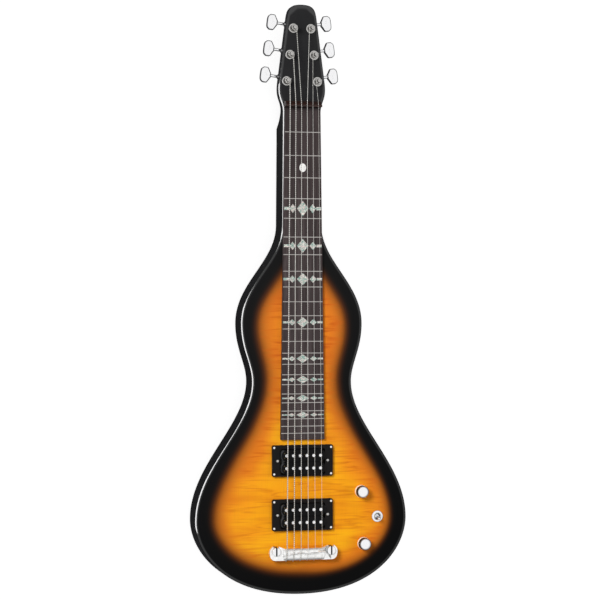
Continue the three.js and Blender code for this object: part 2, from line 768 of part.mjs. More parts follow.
function tunerKey() {
  const half = buttonShares.map(([along, out]) => [buttonStart + along * buttonLength, out * buttonWidth]);
  const outline = [
    ...half.map(([x, y]) => new THREE.Vector2(x, -y)),
    ...half.reverse().map(([x, y]) => new THREE.Vector2(x, y)),
  ];
  const button = roundedPlate(outline, -buttonThickness / 2, buttonThickness / 2, buttonRound, 1);
  const wormEnd = wormLength / 2;
  return joined(
    worm(),
    barX(journalRadius, wormOffset, -wormDrop, -wormEnd - journalLength, runningGap - wormEnd, journalSides),
    barX(journalRadius, wormOffset, -wormDrop, wormEnd - runningGap, wormEnd + journalLength, journalSides),
    barX(keyShaftRadius, wormOffset, -wormDrop, wormEnd + journalLength / 2, buttonStart + buttonRound,
      keyShaftSides),
    button.translate(0, wormOffset, -wormDrop),
  );
}

function tunerBushing() {
  const bore = boreAround(postRadius + runningGap, postSides);
  const low = faceHeight + seatGap;
  const top = low + flangeThickness + collarHeight;
  const rim = flangeThickness / 3;
  const profile = [
    [bore, faceHeight - sleeveLength],
    [sleeveRadius, faceHeight - sleeveLength],
    [sleeveRadius, low],
    [flangeRadius, low],
    [flangeRadius, low + flangeThickness - rim],
    [flangeRadius - rim, low + flangeThickness],
    [collarRadius, low + flangeThickness],
    [collarRadius, top],
    [bore, top],
    [bore, faceHeight - sleeveLength],
  ];
  return solid(turned(profile, 0, 0, postSides));
}

function tunerHousing() {
  const wheelRoom = boreAround(wheelPitchRadius + toothHeight + runningGap, wheelRoomSides);
  const wormRoom = wormMeanRadius + toothHeight + gearClearance;
  const endX = wormLength / 2 + runningGap;
  const low = -wormDrop - wheelThickness / 2 - runningGap;
  const high = -wormDrop + wheelThickness / 2 + runningGap;
  const floorZ = low - journalLength - housingFloor;
  const left = -wheelRoom - housingWall;
  const right = wheelRoom + housingWall;
  const near = left;
  const far = wormOffset + wormRoom + housingWall;
  const footprint = roundedRectangle(
    (left + right) / 2, (near + far) / 2, right - left, far - near, housingCorner);
  const shell = solid(roundedPlate(footprint, floorZ, -seatGap + housingRound, housingRound, 1, 1))
    .subtract(solid(block(left - overrun, right + overrun, near - overrun, far + overrun, -seatGap, overrun)))
    .add(solid(barX(housingCollarRadius, wormOffset, -wormDrop, 0, right + housingCollarLength, 8)));
  const journalBore = boreAround(journalRadius + runningGap, journalSides);
  return cut(shell, [
    barZ(wheelRoom, 0, 0, low, high, wheelRoomSides),
    barX(wormRoom, wormOffset, -wormDrop, -endX, endX, 8),
    barZ(boreAround(postRadius + runningGap, postSides), 0, 0, low, overrun, postSides),
    barZ(journalBore, 0, 0, low - journalLength, high, journalSides),
    barX(journalBore, wormOffset, -wormDrop, -endX - journalLength, 0, journalSides),
    barX(boreAround(keyShaftRadius + runningGap, keyShaftSides), wormOffset, -wormDrop, 0,
      right + housingCollarLength + overrun, keyShaftSides),
  ]);
}

// The mirror image of a geometry across the YZ plane, with its faces still pointing out
function mirrored(geometry) {
  const copy = geometry.clone().scale(-1, 1, 1);
  const index = copy.index.array;
  for (let i = 0; i < index.length; i += 3) {
    [index[i + 1], index[i + 2]] = [index[i + 2], index[i + 1]];
  }
  return copy;
}

const tunerPieces = {
  housing: [surface(tunerHousing()), chrome],
  post: [surface(tunerPost()), chrome],
  key: [surface(tunerKey()), chrome],
  bushing: [surface(tunerBushing()), chrome],
};

// Strings 1 to 3 go to the treble side and 4 to 6 to the bass side. The outer strings take the nearest posts.
const tunerOf = (number) => {
  const treble = number <= tunersPerSide;
  const place = treble ? number - 1 : stringCount - number;
  return { side: treble ? 1 : -1, ...tunerSpots[place] };
};
for (let number = 1; number <= stringCount; number += 1) {
  const { side, x, y } = tunerOf(number);
  const tuner = new THREE.Group();
  tuner.position.set(side * x, y, headBackZ);
  tuner.rotation.z = side * sideAngle;
  guitar.add(tuner);
  for (const [piece, [geometry, material]] of Object.entries(tunerPieces)) {
    addPiece(`tuner_${number}_${piece}`, side > 0 ? geometry : mirrored(geometry), material(), tuner);
  }
}

// A round tube through a list of points, square at both ends
function tube(points, radius, sides) {
  const tangents = points.map((p, i) => {
    const before = points[Math.max(i - 1, 0)];
    const after = points[Math.min(i + 1, points.length - 1)];
    return after.clone().sub(before).normalize();
  });
  let across = new THREE.Vector3(1, 0, 0);
  across.addScaledVector(tangents[0], -across.dot(tangents[0])).normalize();
  const rings = points.map((p, i) => {
    if (i > 0) {
      const turn = new THREE.Quaternion().setFromUnitVectors(tangents[i - 1], tangents[i]);
      across = across.applyQuaternion(turn);
    }
    const up = tangents[i].clone().cross(across);
    return Array.from({ length: sides }, (_, k) => {
      const angle = 2 * Math.PI * k / sides;
      return p.clone()
        .addScaledVector(across, radius * Math.cos(angle))
        .addScaledVector(up, radius * Math.sin(angle));
    });
  });
  return skin(rings);
}

// Each string: ball end in the bar's front pocket, through the bar, round its back, over the ridge, straight
// to the nut, then down to its post, where it winds on from below.
const stringSides = 5;
const ballRadius = 2;
const ballLength = 3;
const bendSteps = 5;
const wrapTurns = 2;
const wrapStepsPerTurn = 12;
const wrapGap = 0.55;
const wrapLow = 6.2;
const wrapEndShare = 0.5;
const bendStart = -0.12 * Math.PI;
const bendEnd = 0.4 * Math.PI;

function leastSelfGap(points, radius, neighbours) {
  let least = Infinity;
  for (let i = 0; i < points.length; i += 1) {
    for (let j = i + neighbours; j < points.length; j += 1) {
      least = Math.min(least, points[i].distanceTo(points[j]) - 2 * radius);
    }
  }
  return least;
}

function stringRoute(number) {
  const radius = stringRadius(number);
  const bridgeX = stringX(number, stringSpanBridge);
  const nutX = stringX(number, stringSpanNut);
  const at = (x, y, z) => new THREE.Vector3(x, y, z);
  const route = [];
  const holeZ = barCentreZ - holeDrop;
  route.push(at(bridgeX, bridgeCentreY + barWidth / 2 - ballPocketDepth + seatGap, holeZ));
  route.push(at(bridgeX, bridgeCentreY - barWidth / 2, holeZ));
  const bendY = barWidth / 2 + radius + ridgeGap;
  const bendZ = barHeight / 2 + radius + ridgeGap;
  for (let i = 0; i <= bendSteps; i += 1) {
    const angle = bendStart + (bendEnd - bendStart) * i / bendSteps;
    route.push(at(bridgeX, bridgeCentreY - bendY * Math.cos(angle), barCentreZ + bendZ * Math.sin(angle)));
  }
  route.push(at(bridgeX, ridgeY(number), bridgeStringZ));
  route.push(at(nutX, scaleLength, nutStringZ));
  route.push(at(nutX, scaleLength + nutCrest, nutStringZ));

  const { side, x, y } = tunerOf(number);
  const post = new THREE.Vector2(side * x, y);
  const wrapRadius = boreAround(postWaistRadius + radius + runningGap, wrapStepsPerTurn);
  const from = new THREE.Vector2(nutX, scaleLength + nutCrest);
  const toPost = post.clone().sub(from);
  const bearing = Math.atan2(toPost.y, toPost.x);
  const spread = Math.acos(wrapRadius / toPost.length());
  const start = bearing + Math.PI - side * spread;
  const low = faceZ + wrapLow + radius;
  const pitch = 2 * radius + wrapGap;
  const steps = wrapTurns * wrapStepsPerTurn;
  const wrap = [];
  for (let i = 0; i <= steps; i += 1) {
    const angle = start - side * 2 * Math.PI * i / wrapStepsPerTurn;
    const z = low + pitch * i / wrapStepsPerTurn;
    wrap.push(at(post.x + wrapRadius * Math.cos(angle), post.y + wrapRadius * Math.sin(angle), z));
  }
  const last = wrap[wrap.length - 1];
  const heading = last.clone().sub(wrap[wrap.length - 2]).normalize();
  wrap.push(last.clone().addScaledVector(heading, 2 * radius + wrapEndShare * postRadius));
  return { route: [...route, ...wrap], wrap, radius };
}

let leastGap = Infinity;
for (let number = 1; number <= stringCount; number += 1) {
  const { route, wrap, radius } = stringRoute(number);
  leastGap = Math.min(leastGap, leastSelfGap(wrap, radius, wrapStepsPerTurn / 2));
  const ballY = route[0].y;
  const ball = barY(ballRadius, route[0].x, route[0].z, ballY - seatGap / 2, ballY + ballLength, 6);
  addPiece(`string_${number}`, surface(joined(tube(route, radius, stringSides), ball)), steel());
}
console.log(`least gap of a string winding to itself: ${leastGap.toFixed(2)} mm`);

// Pickups: two bobbins with their adjustable poles, on a magnet and a baseplate, hung from a ring by two
// height screws. The screws' heads lie in the ring.
const ringWidth = 91;
const ringHeight = 5;
const ringCorner = 2.5;
const ringRound = 0.8;
const windowGap = 0.7;
const bobbinWidth = 66;
const bobbinLength = 18.1;
const bobbinHeight = 11;
const bobbinFlange = 1.5;
const coilInset = 0.9;
const bobbinPitch = 18.4;
const bobbinProud = 5.6;
const poleRadius = 2.4;
const poleProud = 0.8;
const poleSides = 6;
const magnetWidth = 12.4;
const magnetLength = 60;
const magnetHeight = 3.2;
const baseLength = 38;
const baseWidth = 68;
const baseThickness = 1.5;
const earSpan = 82;
const earTabLength = 10;
const heightScrewSpan = 75.4;
const heightScrewRadius = 1.4;
const heightScrewLength = 17.4;
const heightScrewHeadRadius = 2.6;
const heightScrewSides = 6;
const ringTopZ = faceZ + ringHeight;
const bobbinTopZ = ringTopZ + bobbinProud;
const bobbinLowZ = bobbinTopZ - bobbinHeight;
const magnetLowZ = bobbinLowZ - seatGap - magnetHeight;
const baseLowZ = magnetLowZ - seatGap - baseThickness;

function stadium(y, width, length) {
  const shape = new THREE.Shape();
  const radius = length / 2;
  const half = width / 2 - radius;
  shape.moveTo(-half, y - radius);
  shape.lineTo(half, y - radius);
  shape.absarc(half, y, radius, -Math.PI / 2, Math.PI / 2);
  shape.lineTo(-half, y + radius);
  shape.absarc(-half, y, radius, Math.PI / 2, 1.5 * Math.PI);
  return shape;
}

// The poles stand under the strings, which fan out from nut to bridge
const poleSpan = (y) => stringSpanBridge + (stringSpanNut - stringSpanBridge) * y / scaleLength;

function pickupRing(y) {
  const ringY = y + ringLead;
  const outer = roundedRectangle(0, ringY, ringWidth, ringLength, ringCorner);
  const body = solid(roundedPlate(outer, faceZ - ringRound, ringTopZ, ringRound, 1, 1));
  const half = ringWidth / 2 + overrun;
  const windowWidth = bobbinWidth + 2 * windowGap;
  const windowLength = bobbinPitch + bobbinLength + 2 * windowGap;
  const screws = [-1, 1].map((side) => turned([
    [0, ringTopZ - heightScrewLength],
    [heightScrewRadius, ringTopZ - heightScrewLength],
    [heightScrewRadius, ringTopZ - ringHeight / 2],
    [heightScrewHeadRadius, ringTopZ],
    [heightScrewHeadRadius / 2, ringTopZ + ringRound],
    [0, ringTopZ + ringRound],
  ], side * heightScrewSpan / 2, ringY, heightScrewSides));
  const frame = cut(body, [
    block(-half, half, y - ringLength, y + ringLength, faceZ - ringRound - overrun, faceZ),
    plate(roundedRectangle(0, y, windowWidth, windowLength, ringCorner), 0, ringTopZ + overrun, 1),
  ]);
  return surface(screws.reduce((whole, screw) => whole.add(solid(screw)), frame));
}

function bobbin(y, span) {
  const coil = plate(stadium(y, bobbinWidth - 2 * coilInset, bobbinLength - 2 * coilInset),
    bobbinLowZ, bobbinTopZ, 3);
  const flanges = [bobbinLowZ, bobbinTopZ - bobbinFlange].map((z) =>
    plate(stadium(y, bobbinWidth, bobbinLength), z, z + bobbinFlange, 3));
  const poleLow = bobbinTopZ - bobbinFlange;
  const poles = stringDiameters.map((_, i) =>
    barZ(poleRadius, stringX(i + 1, span), y, poleLow, bobbinTopZ + poleProud, poleSides));
  return surface(joined(coil, ...flanges, ...poles));
}

function baseplate(y) {
  const screwY = y + ringLead;
  const sheetPlan = roundedRectangle(0, y, baseWidth, baseLength, ringCorner);
  const tabPlan = roundedRectangle(0, screwY, earSpan, earTabLength, ringCorner);
  const body = joined(
    plate(sheetPlan, baseLowZ, baseLowZ + baseThickness, 1),
    plate(tabPlan, baseLowZ, baseLowZ + baseThickness, 1));
  const holes = [-1, 1].map((side) => barZ(heightScrewRadius + runningGap, side * heightScrewSpan / 2, screwY,
    baseLowZ - overrun, baseLowZ + baseThickness + overrun, heightScrewSides));
  return surface(cut(body, holes));
}

for (const [name, y] of Object.entries(pickupStations)) {
  addPiece(`${name}_pickup_ring`, pickupRing(y), blackPlastic());
  addPiece(`${name}_pickup_baseplate`, baseplate(y), brass());
  const frontY = y + bobbinPitch / 2;
  const backY = y - bobbinPitch / 2;
  addPiece(`${name}_pickup_bobbin_front`, bobbin(frontY, poleSpan(y)), blackPlastic());
  addPiece(`${name}_pickup_bobbin_back`, bobbin(backY, poleSpan(y)), blackPlastic());
  const magnetZ = baseLowZ + baseThickness + seatGap;
  addPiece(`${name}_pickup_magnet`, block(-magnetLength / 2, magnetLength / 2,
    y - magnetWidth / 2, y + magnetWidth / 2, magnetZ, magnetZ + magnetHeight), steel());
}

// Volume and tone controls: potentiometer under the top, its bushing and nut through it, a shaft, and a
// hollow domed knob pressed on the shaft
const potRadius = 11.9;
const potHeight = 9.5;
const potNutRadius = 6.6;
const potNutHeight = 2.2;
const potBushingProud = 4;
const potSides = 10;
const shaftRadius = 3.175;
const shaftSides = 10;
const shaftStart = 4;
const knobRadius = 9.4;
const knobTopRadius = 8.5;
const knobHeight = 15.5;
const knobLift = 0.8;
const knobWall = 1.5;
const knobSkirtDepth = 5;
const knobHoleDepth = 12;
const knobRound = 2.2;
const knobSides = 16;
const pressGap = 0.12;

function potentiometer({ x, y }) {
  const top = controlCeilingZ - seatGap;
  const bushingTop = faceZ + potBushingProud;
  const bore = boreAround(shaftRadius + runningGap, potSides);
  const profile = [
    [0, top - potHeight],
    [potRadius, top - potHeight],
    [potRadius, top],
    [potBushingRadius, top],
    [potBushingRadius, faceZ + seatGap],
    [potNutRadius, faceZ + seatGap],
    [potNutRadius, faceZ + seatGap + potNutHeight],
    [potBushingRadius, faceZ + seatGap + potNutHeight],
    [potBushingRadius, bushingTop],
    [bore, bushingTop],
    [bore, top - potHeight + shaftStart - runningGap],
    [0, top - potHeight + shaftStart - runningGap],
  ];
  return surface(solid(turned(profile, x, y, potSides)));
}

function knob({ x, y }) {
  const low = faceZ + knobLift;
  const top = low + knobHeight;
  const hole = boreAround(shaftRadius + pressGap, knobSides);
  const profile = [
    [knobRadius - knobWall, low],
    [knobRadius, low],
    [knobTopRadius, top - knobRound],
    [knobTopRadius - knobRound / 3, top - knobRound / 3],
    [knobTopRadius - knobRound, top],
    [0, top],
    [0, low + knobHoleDepth],
    [hole, low + knobHoleDepth],
    [hole, low + knobSkirtDepth],
    [knobRadius - knobWall, low + knobSkirtDepth],
    [knobRadius - knobWall, low],
  ];
  return surface(solid(turned(profile, x, y, knobSides)));
}

function potShaft({ x, y }) {
  const low = controlCeilingZ - seatGap - potHeight + shaftStart;
  return barZ(shaftRadius, x, y, low, faceZ + knobLift + knobHoleDepth - seatGap, shaftSides);
}

for (const [name, spot] of [['volume', volumeSpot], ['tone', toneSpot]]) {
  addPiece(`${name}_pot`, potentiometer(spot), steel());
  addPiece(`${name}_shaft`, potShaft(spot), brass());
  addPiece(`${name}_knob`, knob(spot), chrome());
}

// Three-way pickup switch: a frame in the cavity, a bushing through the top with its dress nut, and a
// lever on a ball, which rests leaning to the tail
const switchWidth = 14;
const switchLength = 18;
const switchFrameHeight = 15;
const switchNutRadius = 8.6;
const switchNutHeight = 2.4;
const switchBoreRadius = 4.1;
const leverBallRadius = 3.7;
const leverRadius = 1.5;
const leverTipRadius = 2.3;
const leverTipLength = 6;
const leverReach = 15;
const leverTail = 6;
const leverTilt = THREE.MathUtils.degToRad(12);
const leverPivotZ = faceZ - topThickness;
const leverSides = 10;

function switchBody() {
  const top = controlCeilingZ - seatGap;
  const frame = block(switchSpot.x - switchWidth / 2, switchSpot.x + switchWidth / 2,
    switchSpot.y - switchLength / 2, switchSpot.y + switchLength / 2, top - switchFrameHeight, top);
  const nutLow = faceZ + seatGap;
  const profile = [
    [0, top - seatGap],
    [switchBushingRadius, top - seatGap],
    [switchBushingRadius, nutLow],
    [switchNutRadius, nutLow],
    [switchNutRadius, nutLow + switchNutHeight / 2],
    [switchBushingRadius, nutLow + switchNutHeight],
    [0, nutLow + switchNutHeight],
  ];
  const well = barZ(switchBoreRadius, switchSpot.x, switchSpot.y,
    leverPivotZ - leverBallRadius - leverTail - 2 * runningGap, faceZ + overrun * 2, 16);
  return surface(cut(joined(frame, turned(profile, switchSpot.x, switchSpot.y, 16)), [well]));
}

function switchLever() {
  const profile = [
    [0, -leverBallRadius - leverTail / 2],
    [leverRadius, -leverBallRadius - leverTail / 2],
    [leverRadius, -leverBallRadius],
    [leverBallRadius, -leverRadius],
    [leverBallRadius, leverRadius],
    [leverRadius, leverBallRadius],
    [leverRadius, leverReach - leverTipLength],
    [leverTipRadius, leverReach - leverTipLength / 2],
    [leverTipRadius, leverReach - leverRadius / 2],
    [leverRadius, leverReach],
    [0, leverReach],
  ];
  return surface(solid(turned(profile, 0, 0, leverSides)));
}
addPiece('switch_body', switchBody(), chrome());
const lever = addPiece('switch_lever', switchLever(), chrome());
lever.position.set(switchSpot.x, switchSpot.y, leverPivotZ);
lever.rotation.x = leverTilt;

// Output jack: a threaded barrel with a flange, open from end to end
function outputJack() {
  const flangeX = jackSeatX + seatGap;
  const endX = flangeX + jackFlangeThickness;
  const rearX = flangeX - jackBarrelLength;
  const body = joined(
    barX(jackBarrelRadius, jackY, jackZ, rearX, flangeX + jackFlangeThickness / 2, jackSides),
    barX(jackFlangeRadius, jackY, jackZ, flangeX, endX, jackSides));
  const bore = barX(jackBoreRadius, jackY, jackZ, rearX - overrun, endX + overrun, jackSides);
  return surface(cut(body, [bore]));
}
addPiece('output_jack', outputJack(), chrome());

// Cover of the control cavity, let into the back
addPiece('control_cover', plate(controlPlan(coverLip - seatGap), coverInset, coverInset + coverThickness, 2),
  blackPlastic());

export default guitar;
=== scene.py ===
import math

import bmesh
import bpy
import numpy as np
from mathutils import Matrix, Vector, geometry


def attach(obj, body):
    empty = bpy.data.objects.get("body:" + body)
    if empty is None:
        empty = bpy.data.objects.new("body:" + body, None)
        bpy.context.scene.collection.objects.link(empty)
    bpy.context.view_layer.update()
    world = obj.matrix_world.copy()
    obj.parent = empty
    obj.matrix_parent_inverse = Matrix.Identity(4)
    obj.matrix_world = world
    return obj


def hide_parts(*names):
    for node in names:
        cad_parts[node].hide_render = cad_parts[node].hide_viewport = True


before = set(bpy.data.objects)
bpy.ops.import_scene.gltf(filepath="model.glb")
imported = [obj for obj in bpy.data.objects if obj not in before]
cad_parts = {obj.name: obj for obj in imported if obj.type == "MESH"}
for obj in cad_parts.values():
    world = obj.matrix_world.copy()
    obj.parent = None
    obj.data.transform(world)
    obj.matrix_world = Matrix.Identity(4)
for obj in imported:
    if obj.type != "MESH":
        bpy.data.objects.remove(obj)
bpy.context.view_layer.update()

# Studio: a pale floor under the instrument's flat back, a soft key light high on the bass side, a weak
# fill on the treble side, a panel on the bass side for the gloss along the rim, and a dim grey room.
MM = 0.001
FLOOR_SIZE = 14.0
FLOOR_LEVEL = -0.5 * MM
FLOOR_COLOUR = (0.62, 0.62, 0.62)
FLOOR_GLOW = (0.86, 0.86, 0.86)
# The floor's colour in reflections is a painted shadow, much darker than its own colour.
FLOOR_PAINTED_SHADE_IN_GLOSS = (0.12, 0.12, 0.13)
ROOM_LIGHT = 0.35
ROOM_OVERHEAD = 1.0
ROOM_LOW = 0.16


class Value:
    """A socket of a node tree, on which plain arithmetic adds Math nodes."""

    def __init__(self, nodes, socket):
        self.nodes, self.socket = nodes, socket

    def maths(self, operation, *values):
        values = dict(zip(("Value", "Value_001"), values))
        return self.nodes.node("ShaderNodeMath", {"operation": operation}, values)

    def clamped(self):
        return self.maths("MINIMUM", self.maths("MAXIMUM", self, 0.0), 1.0)

    def size(self):
        return self.maths("ABSOLUTE", self)

    def sine(self):
        return self.maths("SINE", self)

    def band(self, low, high):
        """0 below low and 1 above high, with a straight slope between them."""
        return ((self - low) / (high - low)).clamped()


def reckoned(operation, reflected):
    """One operator of Value, with the other number first where it is reflected."""
    def answer(self, other):
        return self.maths(operation, *((other, self) if reflected else (self, other)))
    return answer


for sign, operation in (("add", "ADD"), ("sub", "SUBTRACT"), ("mul", "MULTIPLY"), ("truediv", "DIVIDE"),
                        ("pow", "POWER")):
    setattr(Value, f"__{sign}__", reckoned(operation, False))
    setattr(Value, f"__r{sign}__", reckoned(operation, True))


class Nodes:
    """A node tree that is written a node at a time."""

    def feed(self, socket, value):
        if isinstance(value, Value):
            self.tree.links.new(value.socket, socket)
        elif socket.type == "RGBA":
            socket.default_value = (*value, 1.0)
        else:
            socket.default_value = value

    def node(self, kind, settings=None, values=None, output=0):
        """Adds a node: its settings first, then the values or links of its sockets, by identifier."""
        made = self.tree.nodes.new(kind)
        for key, value in (settings or {}).items():
            if key == "stops":
                elements = made.color_ramp.elements
                while len(elements) < len(value):
                    elements.new(1.0)
                for element, (place, colour) in zip(elements, value):
                    element.position = place
                    element.color = (*colour, 1.0)
            else:
                setattr(made, key, value)
        sockets = {socket.identifier: socket for socket in made.inputs}
        for key, value in (values or {}).items():
            self.feed(sockets[key], value)
        outputs = {socket.identifier: socket for socket in made.outputs}
        return Value(self, outputs[output] if isinstance(output, str) else made.outputs[output])

    def axes(self, vector):
        split = self.node("ShaderNodeSeparateXYZ", None, {"Vector": vector})
        return [Value(self, output) for output in split.socket.node.outputs]


class Finish(Nodes):
    """A material for one of the instrument's finishes: one Principled shader and the nodes that feed it."""

    def __init__(self, name, **constants):
        self.material = bpy.data.materials.new(name)
        self.material.use_nodes = True
        self.tree = self.material.node_tree
        self.shader = self.tree.nodes["Principled BSDF"]
        self.set(**constants)

    def set(self, **sockets):
        for key, value in sockets.items():
            self.feed(self.shader.inputs[key.replace("_", " ").title().replace("Ior", "IOR")], value)

    def here(self):
        return self.node("ShaderNodeTexCoord", output="Object")

    def noise(self, scale, detail=2.0, roughness=0.5, distortion=0.0):
        """Noise through the piece, of one scale or of a scale for each axis."""
        place = self.here()
        if isinstance(scale, tuple):
            place, scale = self.node("ShaderNodeMapping", None, {"Vector": place, "Scale": scale}), 1.0
        return self.node("ShaderNodeTexNoise", None, {
            "Vector": place, "Scale": scale, "Detail": detail, "Roughness": roughness,
            "Distortion": distortion})

    def attribute(self, name):
        return self.node("ShaderNodeAttribute", {"attribute_name": name}, output="Fac")

    def ramp(self, value, stops):
        return self.node("ShaderNodeValToRGB", {"stops": stops}, {"Fac": value})

    def mix(self, factor, low, high):
        values = {"Factor_Float": factor, "A_Color": low, "B_Color": high}
        return self.node("ShaderNodeMix", {"data_type": "RGBA"}, values, output="Result_Color")

    def bump(self, height, depth, strength=1.0):
        values = {"Height": height, "Distance": depth, "Strength": strength}
        self.set(normal=self.node("ShaderNodeBump", None, values))


def placed(name, data):
    made = bpy.data.objects.new(name, data)
    bpy.context.scene.collection.objects.link(made)
    return made


def mesh_piece(name, vertices, faces, finish, crease=32):
    """A closed mesh from points in metres, smooth but for edges sharper than crease degrees."""
    mesh = bpy.data.meshes.new(name)
    mesh.from_pydata([tuple(map(float, v)) for v in vertices], [], [tuple(map(int, f)) for f in faces])
    mesh.materials.append(finish.material)
    if crease:
        mesh.shade_smooth()
        mesh.set_sharp_from_angle(angle=math.radians(crease))
    return placed(name, mesh)


def lamp(name, place, aim, size, energy):
    data = bpy.data.lights.new(name, "AREA")
    data.shape = "RECTANGLE"
    data.size, data.size_y = size
    data.energy = energy
    made = placed(name, data)
    made.location = place
    made.rotation_euler = (Vector(aim) - Vector(place)).to_track_quat("-Z", "Y").to_euler()
    made.light_linking.receiver_collection = lit_by_room_alone
    return made


floor_finish = Finish("studio_floor", base_color=FLOOR_COLOUR, roughness=0.9)


def looked_at(nodes):
    """Whether the camera sees this straight on, and whether it sees it in a reflection."""
    camera, gloss, through = (nodes.node("ShaderNodeLightPath", output=name) for name in
                              ("Is Camera Ray", "Is Glossy Ray", "Is Transmission Ray"))
    return (camera + through).clamped(), gloss


straight, mirrored = looked_at(floor_finish)
# Painted shadow: seen in a reflection, the floor is painted dark grey rather than pale, for the shade beside
# the body that the lacquer mirrors.
floor_finish.set(base_color=floor_finish.mix(mirrored, FLOOR_COLOUR, FLOOR_PAINTED_SHADE_IN_GLOSS), emission_strength=1.0,
                 emission_color=floor_finish.mix(straight, (0.0, 0.0, 0.0), FLOOR_GLOW))
reach = FLOOR_SIZE / 2
corners = [(x * reach, y * reach, FLOOR_LEVEL) for x, y in ((-1, -1), (1, -1), (1, 1), (-1, 1))]
floor = mesh_piece("studio_floor", corners, [(0, 1, 2, 3)], floor_finish, crease=0)

lit_by_room_alone = bpy.data.collections.new("lit_by_room_alone")
lit_by_room_alone.objects.link(floor)
lit_by_room_alone.collection_objects[0].light_linking.link_state = "EXCLUDE"
for soft in (lamp("key", (-1.9, 1.5, 2.5), (0, 0.33, 0), (1.2, 1.2), 96),
             lamp("fill", (2.6, 0.2, 1.3), (0, 0.33, 0), (1.0, 1.6), 18)):
    soft.visible_glossy = False

# A tall panel on the bass side that only the lacquer mirrors, for the white line along the body's edge
lacquered = bpy.data.collections.new("lacquered")
panel = lamp("panel", (-1.72, 0.3, 1.06), (0, 0.3, 0), (1.7, 4.6), 530)
panel.visible_diffuse = False
panel.light_linking.receiver_collection = lacquered

room = Nodes()
world = bpy.data.worlds.new("studio_room")
bpy.context.scene.world = world
world.use_nodes = True
room.tree = world.node_tree
backdrop = room.tree.nodes["Background"]
room.feed(backdrop.inputs["Color"], (1.0, 1.0, 1.0))
straight, mirrored = looked_at(room)
z = room.axes(room.node("ShaderNodeTexCoord", output="Generated"))[2]
overhead = ROOM_LOW + z.band(0.15, 0.72) * (ROOM_OVERHEAD - ROOM_LOW)
room.feed(backdrop.inputs["Strength"],
          ROOM_LIGHT + straight * (1.0 - ROOM_LIGHT) + mirrored * (overhead - ROOM_LIGHT))

# The camera looks down at the face from the bass side
CAMERA_YAW = math.radians(13.712)
CAMERA_DISTANCE = 2755.2 * MM
CAMERA_AIM = Vector((-4.133, 366.05, 49.0)) * MM
CAMERA_LENS, CAMERA_SENSOR = 113.17, 36.0
lens = bpy.data.cameras.new("camera")
lens.lens, lens.sensor_width = CAMERA_LENS, CAMERA_SENSOR
camera = placed("camera", lens)
back = Vector((-math.sin(CAMERA_YAW), 0.0, math.cos(CAMERA_YAW)))
camera.location = CAMERA_AIM + back * CAMERA_DISTANCE
camera.rotation_euler = (0.0, -CAMERA_YAW, 0.0)
bpy.context.scene.camera = camera
bpy.context.scene.view_settings.view_transform = "Standard"

# Body, neck and headstock core: one long blank of mahogany, routed for pickups, controls, studs and
# machine heads, its back rim rounded over and its headstock thinned from behind. Sprayed black and
# polished to a high gloss. The neck runs through, so nothing but glue holds the wings.
LOWER_BOUT = (159.0, 45.1)
WAIST = (74.8, 246.5)
UPPER_BOUT = (91.25, 331.6)
NECK = (29.7, 477.0)
FLARE = (28.6, 639.7)
CHEEK = (35.5, 674.2)
CHEEK_ROUND = 5.0
SHOULDER = (22.85, 775.9)
TIP_Y, TAIL_Y = 798.7, -64.3
CORE_TOP = 40.8
FACE = 44.0
HEAD_BACK = 31.0
SWEEP = (620.0, 664.0)
SWEEP_SHARE = 0.3
BACK_RIM = (3.5, 1.5)
RIM_RINGS = 8
NUT_Y = 647.7
PICKUPS = {"neck": 129.925, "bridge": 50.8}
POCKET = (85.0, 41.0, 21.0, 4.0)
CAVITY = (100.0, 45.5, 56.0, 110.0, 17.0)
CAVITY_CEILING = 35.0
COVER_LIP, COVER_SEAT = 5.0, 2.7
UNDERNEATH = -3.0
CONTROLS = {"volume": (89.5, 84.0), "tone": (93.2, 7.2), "switch": (114.5, 46.6)}
POT_BORE, SWITCH_BORE, SLEEVE_BORE, BORE_FLOOR = 5.31, 6.41, 5.3, 20.0
STUD_X = 41.2
ANCHOR_BORE, ANCHOR_DEPTH = 6.52, 22.3
JACK = (154.0, 45.1, 22.0)
JACK_BORE, JACK_SEAT = 6.1, 11.0
LEAD_Z, LEAD_RADIUS = 27.0, 4.0
SIDE_SLOPE = (CHEEK[0] - SHOULDER[0]) / (SHOULDER[1] - CHEEK[1] - CHEEK_ROUND)
SIDE_ANGLE = math.atan(SIDE_SLOPE)
TUNER_STATIONS = (686.0, 724.7, 763.4)
POST_INSET = 11.4


def head_half_width(y):
    return CHEEK[0] - SIDE_SLOPE * (y - CHEEK[1] - CHEEK_ROUND)


def bezier(steps, *corners):
    """Points on the Bezier curve of these corners, after its first."""
    t = np.linspace(0, 1, steps + 1)[1:, None]
    points = [np.array(corner, float) for corner in corners]
    while len(points) > 1:
        points = [a * (1 - t) + b * t for a, b in zip(points, points[1:])]
    return points[0]


def bend(low, high, leave, arrive, steps=44):
    """A curve between two stations, which it leaves and reaches along the instrument."""
    span = high[1] - low[1]
    return bezier(steps, low, (low[0], low[1] + leave * span), (high[0], high[1] - arrive * span), high)


